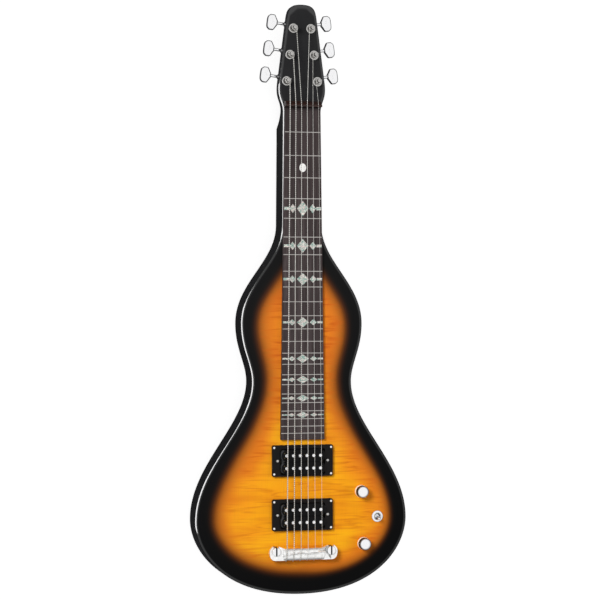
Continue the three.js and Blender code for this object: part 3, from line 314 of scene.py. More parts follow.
def plan_outline():
    """The plan of body, neck and headstock, anticlockwise from the middle of the tail."""
    x, y = LOWER_BOUT
    turned_y = CHEEK[1] + 2 * CHEEK_ROUND
    turned_end = (head_half_width(turned_y), turned_y)
    crown = SHOULDER[1] + 0.657 * (TIP_Y - SHOULDER[1])
    treble = np.vstack([
        [(0.0, TAIL_Y)],
        bezier(44, (0, TAIL_Y), (0.745 * x, TAIL_Y), (x, y - 0.39 * (y - TAIL_Y)), LOWER_BOUT),
        bend(LOWER_BOUT, WAIST, 0.391, 0.321), bend(WAIST, UPPER_BOUT, 0.303, 0.443),
        bend(UPPER_BOUT, NECK, 0.411, 0.373), bezier(40, NECK, FLARE), bend(FLARE, CHEEK, 0.45, 0.45, 18),
        bezier(6, CHEEK, (CHEEK[0], CHEEK[1] + CHEEK_ROUND), turned_end), bezier(24, turned_end, SHOULDER),
        bezier(22, SHOULDER, (head_half_width(crown), crown), (0.836 * SHOULDER[0], TIP_Y), (0, TIP_Y))])
    return np.vstack([treble, treble[1:-1][::-1] * (-1, 1)])


def outward(loop):
    """The outward normals of an anticlockwise loop at its corners."""
    along = np.roll(loop, -1, 0) - np.roll(loop, 1, 0)
    across = np.stack([along[:, 1], -along[:, 0]], 1)
    return across / np.linalg.norm(across, axis=1)[:, None]


def inside(points, loop):
    ahead = np.roll(loop, -1, 0)
    spans = (loop[None, :, 1] > points[:, None, 1]) != (ahead[None, :, 1] > points[:, None, 1])
    slope = (ahead[:, 0] - loop[:, 0]) / np.where(ahead[:, 1] == loop[:, 1], 1e-9, ahead[:, 1] - loop[:, 1])
    crossing = loop[None, :, 0] + (points[:, None, 1] - loop[None, :, 1]) * slope[None]
    return (spans & (points[:, None, 0] < crossing)).sum(1) % 2 == 1


def distance_to(points, loop):
    """How far each point lies from a closed loop."""
    step = np.roll(loop, -1, 0) - loop
    least = np.empty(len(points))
    for start in range(0, len(points), 2000):
        part = points[start:start + 2000, None]
        t = np.clip(((part - loop) * step).sum(-1) / (step ** 2).sum(-1), 0, 1)
        least[start:start + 2000] = np.sqrt(((loop + t[..., None] * step - part) ** 2).sum(-1)).min(1)
    return least


def rounded_rectangle(x, y, width, length, corner, steps=6):
    points = []
    for turn, sx, sy in ((0, 1, 1), (1, -1, 1), (2, -1, -1), (3, 1, -1)):
        for i in range(steps + 1):
            angle = (turn + i / steps) * math.pi / 2
            points.append((x + sx * (width / 2 - corner) + corner * math.cos(angle),
                           y + sy * (length / 2 - corner) + corner * math.sin(angle)))
    return np.array(points)


def ring(x, y, radius, sides=40):
    angles = np.arange(sides) * 2 * math.pi / sides
    return np.stack([x + radius * np.cos(angles), y + radius * np.sin(angles)], 1)


def triangles_of(loops, extra=()):
    """Triangles of the area inside the first loop and outside the others, as rows of all the points."""
    points = np.vstack([*loops, *([extra] if len(extra) else [])])
    edges = []
    start = 0
    for loop in loops:
        edges += [(start + i, start + (i + 1) % len(loop)) for i in range(len(loop))]
        start += len(loop)
    found = geometry.delaunay_2d_cdt([Vector(p) for p in points], edges, [], 0, 1e-6)
    origin = [rows[0] if rows else -1 for rows in found[3]]
    rows = np.array([[origin[i] for i in face] for face in found[2]])
    centres = points[rows].mean(1)
    keep = inside(centres, loops[0]) & (rows >= 0).all(1)
    for hole in loops[1:]:
        keep &= ~inside(centres, hole)
    rows = rows[keep]
    a, b, c = (points[rows[:, k]] for k in range(3))
    turn = (b[:, 0] - a[:, 0]) * (c[:, 1] - a[:, 1]) - (b[:, 1] - a[:, 1]) * (c[:, 0] - a[:, 0])
    rows[turn < 0] = rows[turn < 0][:, ::-1]
    return points, rows


def walls(first, second, count):
    """Quads between two rings of vertices, facing out for an anticlockwise ring that rises."""
    return [(first + i, first + (i + 1) % count, second + (i + 1) % count, second + i)
            for i in range(count)]


def skin(rings):
    """Quads between rings of as many vertices each, one ring's after another's."""
    n = len(rings[0])
    return [wall for k in range(len(rings) - 1) for wall in walls(k * n, (k + 1) * n, n)]


def at_height(loop, z):
    return np.column_stack([loop, np.full(len(loop), z)])


def rounded_rim(plan, radius, steps):
    """Rings that widen to the plan as they rise over a rim of this radius, each with its rise."""
    for angle in np.linspace(0, math.pi / 2, steps + 1):
        inset = np.reshape(radius * (1 - math.sin(angle)), (-1, 1))
        yield plan - outward(plan) * inset, radius * (1 - math.cos(angle))


def baked(made):
    """Makes the outcome of a piece's modifiers its own plain mesh."""
    depsgraph = bpy.context.evaluated_depsgraph_get()
    mesh = bpy.data.meshes.new_from_object(made.evaluated_get(depsgraph))
    made.modifiers.clear()
    made.data = mesh
    return made


def even_shading(made, crease=30):
    """Lets the large flat faces rule the shading at their rims, between edges sharper than crease."""
    made.data.set_sharp_from_angle(angle=math.radians(crease))
    made.modifiers.new("even", "WEIGHTED_NORMAL").keep_sharp = True
    return baked(made)


def prism(name, loop, low, high):
    n = len(loop)
    points, rows = triangles_of([loop])
    vertices = np.vstack([at_height(points, low), at_height(points, high)]) * MM
    faces = [tuple(r[::-1]) for r in rows] + [tuple(r + n) for r in rows] + walls(0, n, n)
    return mesh_piece(name, vertices, faces, floor_finish, crease=0)


def laid(made, axis):
    """Turns a piece made along Z to lie along X or Y."""
    turn = {"X": Matrix(((0, 0, 1, 0), (1, 0, 0, 0), (0, 1, 0, 0), (0, 0, 0, 1))),
            "Y": Matrix(((0, 1, 0, 0), (0, 0, 1, 0), (1, 0, 0, 0), (0, 0, 0, 1)))}[axis]
    made.data.transform(turn)
    return made


def cut_out(made, tools, operation="DIFFERENCE"):
    for tool in tools:
        cutter = made.modifiers.new("cut", "BOOLEAN")
        cutter.operation, cutter.solver, cutter.object = operation, "EXACT", tool
    baked(made)
    for tool in tools:
        bpy.data.objects.remove(tool)
    return made


def back_height(y):
    """How high the back lies at a station: flat, then swept up behind the nut to the thin headstock."""
    start, (end_y, middle) = (SWEEP[0], 0.0), (SWEEP[1], SWEEP[0] + SWEEP_SHARE * (SWEEP[1] - SWEEP[0]))
    curve = np.vstack([[start], bezier(59, start, (middle, HEAD_BACK), (end_y, HEAD_BACK))])
    return np.interp(y, *curve.T)


def dressed(made, finish, slot, *nodes, body="root"):
    """Gives a piece its finish and the body it rides on, and hides the nodes it stands for; slot is not used.
    """
    made.data.materials.clear()
    made.data.materials.append(finish.material)
    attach(made, body)
    if nodes:
        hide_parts(*nodes)
    return made


lacquer = Finish("black_lacquer", specular_ior_level=0.08)
grain = lacquer.noise((60.0, 9.0, 60.0), detail=3.0)
haze = lacquer.noise(35.0, detail=4.0)
along = lacquer.axes(lacquer.here())[1]
# Painted sheen: the black is painted lighter towards the headstock, as if the room's sheen on it grew there.
lacquer.set(base_color=lacquer.mix(along.band(0.35, 0.68), (0.01, 0.01, 0.0106), (0.017, 0.017, 0.018)),
            roughness=0.05 + haze * 0.06)
lacquer.bump(grain, 0.00012, 0.25)

outline = plan_outline()
count = len(outline)
rim = np.interp(outline[:, 1], [SWEEP[0] - 20, SWEEP[1]], BACK_RIM)
rings = [at_height(plan, back_height(plan[:, 1]) + rise) for plan, rise in rounded_rim(outline, rim, RIM_RINGS)]
rings.append(at_height(outline, CORE_TOP))
faces = skin(rings)
grid = np.array([(x, y) for y in np.arange(SWEEP[0] - 8, SWEEP[1] + 12, 2.0)
                 for x in np.arange(-24.0, 25.0, 6.0)])
rows = triangles_of([rings[0][:, :2]], grid)[1]
faces += [tuple(r[::-1]) for r in np.where(rows < count, rows, rows + (len(rings) - 1) * count)]
faces += [tuple(r + (len(rings) - 1) * count) for r in triangles_of([outline])[1]]
core = mesh_piece("body_and_neck", np.vstack([*rings, at_height(grid, back_height(grid[:, 1]))]) * MM,
                  faces, lacquer)

# Each opening in the face: its plan, and how low its floor lies
width, length, depth, corner = POCKET
openings = [(rounded_rectangle(0, y, width, length, corner), FACE - depth) for y in PICKUPS.values()]
openings += [(ring(x, y, SWITCH_BORE if name == "switch" else POT_BORE), BORE_FLOOR)
             for name, (x, y) in CONTROLS.items()]
for side in (-1, 1):
    openings.append((ring(side * STUD_X, 0, ANCHOR_BORE), FACE - ANCHOR_DEPTH))
    openings += [(ring(side * (head_half_width(y) - POST_INSET), y, SLEEVE_BORE), BORE_FLOOR)
                 for y in TUNER_STATIONS]
x, y, width, length, corner = CAVITY
seat = rounded_rectangle(x, y, width + 2 * COVER_LIP, length + 2 * COVER_LIP, corner + COVER_LIP)
tools = [prism("cavity", rounded_rectangle(*CAVITY), UNDERNEATH, CAVITY_CEILING),
         prism("cover_seat", seat, UNDERNEATH, COVER_SEAT)]
tools += [prism("opening", plan, low, FACE) for plan, low in openings]
for plan, start, end, axis in (
        (ring(JACK[1], JACK[2], JACK_BORE), CAVITY[0], JACK[0] + 20, "X"),
        (ring(JACK[1], JACK[2], JACK_SEAT), JACK[0], JACK[0] + 20, "X"),
        (ring(PICKUPS["bridge"], LEAD_Z, LEAD_RADIUS, 16), 0.0, CAVITY[0], "X"),
        (ring(LEAD_Z, 0.0, LEAD_RADIUS, 16), PICKUPS["bridge"], PICKUPS["neck"], "Y")):
    tools.append(laid(prism("bore", plan, start, end), axis))
dressed(even_shading(cut_out(core, tools), 32), lacquer, "black_lacquer", "body_core")

# Face of the instrument: a bookmatched sheet of flamed maple glued to the core, its rim rounded, stained
# amber and shaded to black towards the edges, then lacquered. Ahead of the nut the headstock carries a
# black veneer of the same thickness.
TOP_RIM = 2.4
GRID, GRID_END = 3.0, 500.0


def face_sheet():
    """The sheet's points and faces: wall and rounded rim, face, back, and the walls of its openings."""
    rounded = reversed(list(rounded_rim(outline, TOP_RIM, RIM_RINGS)))
    rings = [at_height(outline, CORE_TOP), *(at_height(plan, FACE - drop) for plan, drop in rounded)]
    holes = [plan for plan, low in openings]
    xs, ys = np.meshgrid(np.arange(-LOWER_BOUT[0], LOWER_BOUT[0] + 1, GRID), np.arange(TAIL_Y, GRID_END, GRID))
    grid = np.stack([xs.ravel(), ys.ravel()], 1)
    grid = grid[inside(grid, outline) & (distance_to(grid, outline) > TOP_RIM + GRID / 2)]
    for hole in holes:
        grid = grid[~inside(grid, hole) & (distance_to(grid, hole) > GRID / 3)]
    points, rows = triangles_of([rings[-1][:, :2], *holes], grid)
    low_points, low_rows = triangles_of([outline, *holes])
    first = (len(rings) - 1) * count
    base = first + len(points)
    faces = skin(rings) + [tuple(r + first) for r in rows]
    faces += [tuple(r[::-1]) for r in np.where(low_rows < count, low_rows, low_rows - count + base)]
    upper, lower = first + count, base
    for hole in holes:
        faces += [tuple(reversed(wall)) for wall in walls(lower, upper, len(hole))]
        upper, lower = upper + len(hole), lower + len(hole)
    back = at_height(low_points[count:], CORE_TOP)
    return np.vstack([*rings, at_height(points[count:], FACE), back]) * MM, faces


def parted_at_nut(name, vertices, faces, finish, keep_head):
    made = mesh_piece(name, vertices, faces, finish)
    shape = bmesh.new()
    shape.from_mesh(made.data)
    cut = bmesh.ops.bisect_plane(shape, geom=shape.verts[:] + shape.edges[:] + shape.faces[:],
                                 plane_co=(0, NUT_Y * MM, 0), plane_no=(0, 1, 0),
                                 clear_inner=keep_head, clear_outer=not keep_head)
    rim_edges = [e for e in cut["geom_cut"] if isinstance(e, bmesh.types.BMEdge)]
    bmesh.ops.contextual_create(shape, geom=rim_edges)
    shape.to_mesh(made.data)
    shape.free()
    return even_shading(made, 32)


def marked(made, name, values):
    """Keeps a number for each point of a piece, which its finish reads."""
    kept = made.data.attributes.new(name, "FLOAT", "POINT")
    kept.data.foreach_set("value", np.asarray(values, np.float32))


BURST = [(0.0, (0.0025, 0.0025, 0.0027)), (0.14, (0.0025, 0.0025, 0.0026)), (0.19, (0.0045, 0.0032, 0.0028)),
         (0.225, (0.016, 0.006, 0.003)), (0.26, (0.05, 0.0145, 0.0038)), (0.293, (0.125, 0.034, 0.0045)),
         (0.333, (0.26, 0.073, 0.0068)), (0.373, (0.4, 0.117, 0.0095)), (0.42, (0.545, 0.156, 0.0115)),
         (0.49, (0.7, 0.2, 0.0125)), (0.58, (0.82, 0.248, 0.012)), (0.76, (0.92, 0.32, 0.0105)),
         (1.0, (0.97, 0.39, 0.008))]
BURST_REACH = 90.0 * MM
RIM_GLOSS = (0.003, 0.0045)
maple = Finish("flamed_maple", specular_ior_level=0.0, coat_roughness=0.06)
depth_in = maple.attribute("rim_distance")
across, along, up = maple.axes(maple.here())
wander = maple.noise(9.0, detail=1.0)
by_hand = along.band(-0.09, 0.2) * 0.0125 - 0.0065 - along.band(0.24, 0.34) * 0.005
steeper = (depth_in - 0.02) * 0.4 * across.band(0.0, 0.07) * (1.0 - along.band(0.1, 0.2))
sprayed = ((depth_in + by_hand + steeper + (wander - 0.5) * 0.006) / BURST_REACH).clamped()
burst = maple.ramp(sprayed, BURST)
bare = sprayed.band(0.3, 0.52)
waves = maple.noise((9.0, 85.0, 10.0), detail=2.0, roughness=0.5, distortion=0.5)
ripples = maple.noise((20.0, 240.0, 20.0), detail=2.0, distortion=0.6)
patches = maple.noise((11.0, 17.0, 9.0), detail=1.5)
creases = (1.0 - (waves - 0.48).size() * 13.0).clamped() * ripples.band(0.36, 0.6)
streaks = waves.band(0.5, 0.72) * patches.band(0.3, 0.62)
glints = (1.0 - patches).band(0.42, 0.66) * (0.55 + (1.0 - ripples).band(0.4, 0.6) * 0.45)
fibres = maple.noise((900.0, 30.0, 900.0), detail=2.0)
amber = maple.mix(bare * (0.12 + along.band(0.12, 0.3) * 0.3).clamped(), burst, (0.7, 0.15, 0.012))
figure = (streaks * 0.6 + creases * 0.75) * (1.0 + along.band(0.1, 0.28) * 0.6)
stained = maple.mix(bare * figure.clamped() * 0.85, amber, (0.6, 0.105, 0.006))
stained = maple.mix(bare * glints * 0.7 * depth_in.band(0.03, 0.055) * (1.0 - along.band(0.2, 0.32) * 0.8),
                    stained, (1.0, 0.5, 0.01))
toned = maple.mix((fibres - 0.5).clamped() * 0.35 * bare, stained, (0.5, 0.13, 0.01))
# Painted sheen: a grey veil is painted over the top, growing towards the headstock and the bass side, as if the
# room's sheen grew there.
toned = maple.mix((along * 0.03 - across * 0.012 + 0.001).clamped(), toned, (0.4, 0.4, 0.41))
polish = maple.noise(35.0, detail=4.0)
maple.set(base_color=toned, roughness=0.3 + polish * 0.06,
          coat_weight=1.0 - depth_in.band(*RIM_GLOSS) * 0.93)
veneer_gloss = Finish("veneer_lacquer", specular_ior_level=0.0, coat_roughness=0.06)
haze = veneer_gloss.noise(35.0, detail=4.0)
depth_in = veneer_gloss.attribute("rim_distance")
# Painted sheen: the veneer's black is painted as light as the core's black at the headstock end, with a random
# haze.
veneer_gloss.set(base_color=veneer_gloss.mix(haze, (0.016, 0.016, 0.017), (0.021, 0.021, 0.022)),
                 roughness=0.3 + haze * 0.06, coat_weight=1.0 - depth_in.band(*RIM_GLOSS) * 0.93)

vertices, faces = face_sheet()
for name, finish, slot, node in (("maple_sheet", maple, "flamed_maple", "maple_top"),
                                 ("headstock_veneer", veneer_gloss, "black_lacquer", "headstock_face")):
    sheet = parted_at_nut(name, vertices, faces, finish, keep_head=finish is veneer_gloss)
    flat = np.array([v.co[:2] for v in sheet.data.vertices])
    marked(sheet, "rim_distance", distance_to(flat, outline * MM))
    lacquered.objects.link(sheet)
    dressed(sheet, finish, slot, node)

# Fingerboard: a tapered slab of rosewood glued on the neck and body, inlaid with 23 thin pale strips in
# place of frets, because the strings are stopped with a steel bar and never pressed down.
BOARD_LOW, BOARD_HIGH = FACE, 49.0
BOARD_NUT_HALF, BOARD_END_HALF = 26.8, 32.8
FRETS = 24
BOARD_EDGE = 0.5


def fret_station(fret):
    return NUT_Y * 2 ** (-fret / 12)


BOARD_END = fret_station(FRETS)


def board_half(y):
    return BOARD_NUT_HALF + (BOARD_END_HALF - BOARD_NUT_HALF) * (NUT_Y - y) / (NUT_Y - BOARD_END)


def bevelled(made, width, segments=3, angle=40):
    """Rounds the edges sharper than the angle, in the mesh itself."""
    bevel = made.modifiers.new("edge", "BEVEL")
    bevel.width, bevel.segments = width * MM, segments
    bevel.limit_method, bevel.angle_limit = "ANGLE", math.radians(angle)
    bevel.harden_normals = True
    return baked(made)


rosewood = Finish("rosewood", specular_ior_level=0.35)
lengthwise = rosewood.noise((330.0, 9.0, 330.0), detail=3.0, roughness=0.6)
broad = rosewood.noise((70.0, 3.0, 70.0), detail=1.0)
pores = rosewood.noise((1500.0, 60.0, 1500.0), detail=1.0)
board_colour = rosewood.ramp(lengthwise * 0.6 + broad * 0.4,
                             [(0.36, (0.018, 0.0115, 0.0115)), (0.5, (0.038, 0.0265, 0.027)),
                              (0.64, (0.07, 0.053, 0.053))])
rosewood.set(base_color=rosewood.mix(pores.band(0.56, 0.66) * 0.6, board_colour, (0.013, 0.008, 0.0075)),
             roughness=0.42 + lengthwise * 0.2)
rosewood.bump(pores + lengthwise * 0.5, 0.00015, 0.35)
blank = np.array([(-board_half(BOARD_END), BOARD_END), (board_half(BOARD_END), BOARD_END),
                  (board_half(NUT_Y), NUT_Y - 0.3), (-board_half(NUT_Y), NUT_Y - 0.3)])
board = bevelled(prism("fingerboard_slab", blank, BOARD_LOW, BOARD_HIGH), BOARD_EDGE)
dressed(board, rosewood, "rosewood", "fingerboard")


class Pattern(Nodes):
    """A Geometry Nodes tree with named inputs, for what repeats or follows a path."""

    KINDS = {float: "NodeSocketFloat", int: "NodeSocketInt", bpy.types.Object: "NodeSocketObject",
             bpy.types.Material: "NodeSocketMaterial"}

    def __init__(self, name, **kinds):
        self.tree = bpy.data.node_groups.new(name, "GeometryNodeTree")
        self.tree.interface.new_socket("Geometry", in_out="OUTPUT", socket_type="NodeSocketGeometry")
        self.keys = {}
        for key, kind in kinds.items():
            socket = self.tree.interface.new_socket(key, in_out="INPUT", socket_type=self.KINDS[kind])
            self.keys[key] = socket.identifier
        self.entry = self.tree.nodes.new("NodeGroupInput")

    def given(self, key):
        return Value(self, next(s for s in self.entry.outputs if s.identifier == self.keys[key]))

    def ends_in(self, geometry_value):
        """Realizes the copies, sets their finish and leaves the tree."""
        real = self.node("GeometryNodeRealizeInstances", None, {"Geometry": geometry_value})
        last = self.node("GeometryNodeSetMaterial", None,
                         {"Geometry": real, "Material": self.given("finish")})
        leave = self.tree.nodes.new("NodeGroupOutput")
        self.tree.links.new(last.socket, leave.inputs[0])

    def make(self, name, **values):
        """The tree's result with these values, as a plain mesh object."""
        made = placed(name, bpy.data.meshes.new(name))
        modifier = made.modifiers.new("pattern", "NODES")
        modifier.node_group = self.tree
        for key, value in values.items():
            modifier[self.keys[key]] = value
        made.update_tag()
        return baked(made)


fret_lines = Pattern("fret_lines", scale_length=float, count=int, nut_half=float, end_half=float,
                     end_station=float, line_width=float, line_depth=float, level=float, inset=float,
                     finish=bpy.types.Material)
given = fret_lines.given
row = fret_lines.node("GeometryNodeMeshLine", {"mode": "OFFSET"}, {"Count": given("count")})
number = fret_lines.node("GeometryNodeInputIndex") + 1.0
scale = given("scale_length")
station = scale * (2.0 ** (0.0 - number / 12.0))
share = (scale - station) / (scale - given("end_station"))
half = given("nut_half") + (given("end_half") - given("nut_half")) * share
place = fret_lines.node("ShaderNodeCombineXYZ", None, {"Y": station, "Z": given("level")})
row = fret_lines.node("GeometryNodeSetPosition", None, {"Geometry": row, "Position": place})
strip = fret_lines.node("GeometryNodeMeshCube", None, {"Size": (1.0, 1.0, 1.0)})
size = fret_lines.node("ShaderNodeCombineXYZ", None, {
    "X": (half - given("inset")) * 2.0, "Y": given("line_width"), "Z": given("line_depth")})
fret_lines.ends_in(fret_lines.node("GeometryNodeInstanceOnPoints", None,
                                   {"Points": row, "Instance": strip, "Scale": size}))

line_finish = Finish("pale_fret_strip", specular_ior_level=0.4)
mottle = line_finish.noise((300.0, 900.0, 300.0))
line_finish.set(base_color=line_finish.mix(mottle, (0.36, 0.34, 0.32), (0.52, 0.5, 0.48)),
                roughness=0.35 + mottle * 0.2)
lines = fret_lines.make("fret_strips", scale_length=NUT_Y * MM, count=FRETS - 1,
                        nut_half=BOARD_NUT_HALF * MM, end_half=BOARD_END_HALF * MM,
                        end_station=BOARD_END * MM, line_width=1.0 * MM, line_depth=1.25 * MM,
                        level=(BOARD_HIGH - 0.375) * MM, inset=0.4 * MM, finish=line_finish.material)
dressed(lines, line_finish, "rosewood")

# Position markers: a round pearl dot at the third space, and plates of abalone let into eight more, each
# a large lozenge between two smaller ones with slim bars to the edges, rubbed level with the wood.
MARKED_SPACES = (5, 7, 9, 12, 15, 17, 19, 21)
MARKER_TALL = 0.26
LOZENGES = ((0.0, 0.3, 1.5), (-0.52, 0.17, 0.9), (0.52, 0.17, 0.9))
BAR_FROM, BAR_TO, BAR_TALL = 0.71, 0.97, 0.3
DOT_SPACE = 3
DOT = (5.0, 6.3)
DOT_SETBACK = 1.5
INLAY_RISE = 0.12
INLAY_DEPTH = 1.0
shell = Finish("abalone_shell", specular_ior_level=0.6)
swirl = shell.noise((160.0, 260.0, 160.0), detail=3.0, distortion=2.2)
flash = shell.noise(420.0, detail=2.0)
shell_colour = shell.ramp(swirl, [(0.3, (0.07, 0.18, 0.15)), (0.42, (0.22, 0.4, 0.35)),
                                  (0.5, (0.5, 0.53, 0.47)), (0.58, (0.62, 0.48, 0.48)),
                                  (0.68, (0.85, 0.82, 0.72))])
shell.set(base_color=shell.mix(flash.band(0.56, 0.7) * 0.7, shell_colour, (0.85, 0.85, 0.8)),
          roughness=0.16 + flash * 0.2)
pearl = Finish("pearl", specular_ior_level=0.6)
lustre = pearl.noise(260.0, detail=2.0, distortion=1.2)
pearl.set(base_color=pearl.mix(lustre, (0.8, 0.79, 0.76), (0.97, 0.96, 0.94)), roughness=0.2 + lustre * 0.15)


def space_middle(space):
    return (fret_station(space - 1) + fret_station(space)) / 2


def inlay(name, plan):
    return prism(name, plan, BOARD_HIGH - INLAY_DEPTH, BOARD_HIGH + INLAY_RISE)


def rectangle(x0, x1, y0, y1):
    return np.array([(x0, y0), (x1, y0), (x1, y1), (x0, y1)])


def several(name, parts, finish):
    """One mesh out of several prisms that don't touch."""
    points, faces = [], []
    for part in parts:
        first = len(points)
        points += [tuple(v.co) for v in part.data.vertices]
        faces += [tuple(i + first for i in face.vertices) for face in part.data.polygons]
        bpy.data.objects.remove(part)
    return mesh_piece(name, points, faces, finish, crease=30)


plates = []
for space in MARKED_SPACES:
    y = space_middle(space)
    half = board_half(y)
    tall = MARKER_TALL * (fret_station(space - 1) - fret_station(space))
    for centre, wide, high in LOZENGES:
        x, wide, high = centre * half, wide * half, high * tall
        plates.append(inlay("plate", np.array([(x - wide, y), (x, y - high), (x + wide, y), (x, y + high)])))
    for side in (-1, 1):
        ends = sorted((side * BAR_FROM * half, side * BAR_TO * half))
        plates.append(inlay("plate", rectangle(*ends, y - BAR_TALL * tall, y + BAR_TALL * tall)))
dressed(several("abalone_markers", plates, shell), shell, "rosewood")
dot = inlay("pearl_dot", ring(0.0, 0.0, 1.0) * DOT + (0.0, space_middle(DOT_SPACE) - DOT_SETBACK))
dressed(dot, pearl, "rosewood")

# Nut: a tall block of dark rosewood glued across the end of the board, slotted at its front crest for the
# six strings and sloping down to the headstock.
def from_cad(name, node):
    """A copy of a CAD node's mesh as one connected surface."""
    made = placed(name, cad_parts[node].data.copy())
    shape = bmesh.new()
    shape.from_mesh(made.data)
    bmesh.ops.remove_doubles(shape, verts=shape.verts, dist=1e-6)
    bmesh.ops.dissolve_limit(shape, angle_limit=math.radians(1), verts=shape.verts, edges=shape.edges)
    shape.to_mesh(made.data)
    shape.free()
    return made


nut_wood = Finish("dark_rosewood", specular_ior_level=0.3)
figure = nut_wood.noise((18.0, 300.0, 300.0), detail=3.0)
nut_wood.set(base_color=nut_wood.ramp(figure, [(0.35, (0.012, 0.006, 0.005)), (0.65, (0.04, 0.016, 0.012))]),
             roughness=0.28 + figure * 0.15)
nut_wood.bump(figure, 0.0001, 0.3)
nut = bevelled(from_cad("nut_block", "nut"), 0.25, 2)
dressed(nut, nut_wood, "dark_rosewood", "nut")

# Pickups: two humbuckers with open bobbins. Each hangs by two spring-loaded height screws from a moulded
# black ring, which four small wood screws hold to the top. Two black bobbins stand side by side on a
# magnet and a brass baseplate, with six steel poles through each.
RING = (91.0, 46.0, 5.0, 2.5)
RING_LEAD = 1.4
RING_ROUND = 0.9
WINDOW = (67.4, 37.9, 2.5)
RING_SCREW_X, RING_SCREW_Y = 42.7, 19.3
RING_SCREW_HEAD = (1.9, 1.0, 0.55)
HEIGHT_SCREW_X, HEIGHT_SCREW_SEAT = 37.7, 2.4
BOBBIN = (66.0, 18.1, 11.0)
BOBBIN_TOP = 54.6
BOBBIN_PITCH = 18.4
FLANGE = 1.5
COIL_INSET = 0.9
POLE_RADIUS, POLE_PROUD = 2.4, 0.8
EYELET_X, EYELET_SPREAD = -28.6, 3.4
BRIDGE_SPAN, NUT_SPAN = 52.6, 42.6
BOBBIN_SOFT = 0.45


def string_x(number, span):
    return (0.5 - (number - 1) / 5) * span


def turned(name, profile, finish, sides=48, crease=30):
    """A piece turned about the Z axis from (radius, height) points that rise on its outside: a run from
    axis to axis, or a loop that goes back down through its bore."""
    vertices, rows = [], []
    for radius, height in profile:
        around = ring(0, 0, radius, sides) if radius else np.zeros((1, 2))
        rows.append([len(vertices) + i % len(around) for i in range(sides + 1)])
        vertices += list(at_height(around, height))
    if profile[0][0]:
        rows.append(rows[0])
    faces = [tuple(dict.fromkeys((low[i], low[i + 1], high[i + 1], high[i])))
             for low, high in zip(rows, rows[1:]) for i in range(sides)]
    return mesh_piece(name, np.array(vertices) * MM, faces, finish, crease)


def moved(made, x, y, z=0.0):
    made.data.transform(Matrix.Translation(Vector((x, y, z)) * MM))
    return made


def lofted(name, rings, finish, crease=30):
    """A skin through rings of points, given anticlockwise about the way that they rise, capped at both
    ends."""
    n = len(rings[0])
    caps = [tuple(range(n - 1, -1, -1)), tuple(range((len(rings) - 1) * n, len(rings) * n))]
    return mesh_piece(name, np.vstack(rings) * MM, caps + skin(rings), finish, crease)


def stadium(y, width, length, steps=16):
    radius = length / 2
    half = width / 2 - radius
    angles = np.linspace(-math.pi / 2, math.pi / 2, steps + 1)
    right = np.stack([half + radius * np.cos(angles), y + radius * np.sin(angles)], 1)
    left = np.stack([-half - radius * np.cos(angles), y - radius * np.sin(angles)], 1)
    return np.vstack([right, left])


def box(x0, x1, y0, y1, z0, z1, name="cutter"):
    return prism(name, rectangle(x0, x1, y0, y1), z0, z1)


def coated(node, finish):
    """Gives a piece that comes as it is from the solid model its finish."""
    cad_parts[node].data.materials.clear()
    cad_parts[node].data.materials.append(finish.material)


fitted = Pattern("fitted_at_points", places=bpy.types.Object, part=bpy.types.Object,
                 finish=bpy.types.Material)
spots = fitted.node("GeometryNodeObjectInfo", None, {"Object": fitted.given("places")}, output="Geometry")
part = fitted.node("GeometryNodeObjectInfo", None, {"Object": fitted.given("part"), "As Instance": True},
                   output="Geometry")
fitted.ends_in(fitted.node("GeometryNodeInstanceOnPoints", None, {"Points": spots, "Instance": part}))


def fitted_at(name, part, places, finish, slot, body="root"):
    """Copies of a small part at these places, as one piece."""
    marks = mesh_piece("marks", np.array(places) * MM, [], finish, crease=0)
    made = fitted.make(name, places=marks, part=part, finish=finish.material)
    for helper in (marks, part):
        bpy.data.objects.remove(helper)
    return dressed(made, finish, slot, body=body)


def mottled(name, colours, roughness, relief, scale, detail=4.0, metallic=1.0):
    """A metal that wanders between two colours, and with them in its roughness and faint relief."""
    made = Finish(name, metallic=metallic)
    cloud = made.noise(scale, detail)
    made.set(base_color=made.mix(cloud, *colours), roughness=roughness[0] + cloud * roughness[1])
    made.bump(cloud, *relief)
    return made


chrome = Finish("chrome", metallic=1.0)
smear = chrome.noise(120.0, detail=4.0)
wiped = chrome.noise((900.0, 120.0, 900.0), detail=2.0)
# Painted shade with some grime: the floors of the studs' slots are painted near black and rough, for the shade
# in the recess.
grime = chrome.attribute("grime")
chrome.set(base_color=chrome.mix(grime, (0.9, 0.9, 0.91), (0.015, 0.015, 0.016)),
           roughness=0.05 + smear * 0.08 + grime * 0.3)
chrome.bump(wiped, 0.00003, 0.2)
nickel = mottled("nickel_plate", ((0.42, 0.41, 0.4), (0.6, 0.59, 0.57)), (0.14, 0.12), (0.00005, 0.3),
                 240.0, 3.0)
steel = mottled("zinc_steel", ((0.36, 0.36, 0.37), (0.6, 0.6, 0.61)), (0.28, 0.2), (0.0001, 0.3), 260.0)
brass = mottled("brass", ((0.16, 0.11, 0.05), (0.34, 0.25, 0.12)), (0.38, 0.2), (0.00008, 0.2), 90.0)
dull_brass = mottled("blackened_brass", ((0.02, 0.018, 0.014), (0.05, 0.042, 0.03)), (0.45, 0.2),
                     (0.00008, 0.2), 90.0)
ferrite = mottled("magnet_iron", ((0.08, 0.08, 0.085), (0.2, 0.2, 0.21)), (0.45, 0.2), (0.0001, 0.3),
                  (40.0, 900.0, 900.0), 3.0, metallic=0.7)
moulded = Finish("black_plastic", specular_ior_level=0.12)
orange_peel = moulded.noise(1400.0, detail=2.0)
blotch = moulded.noise(60.0, detail=3.0)
moulded.set(base_color=moulded.mix(blotch, (0.0035, 0.003, 0.003), (0.0075, 0.0062, 0.0062)),
            roughness=0.32 + blotch * 0.14)
moulded.bump(orange_peel, 0.00006, 0.5)
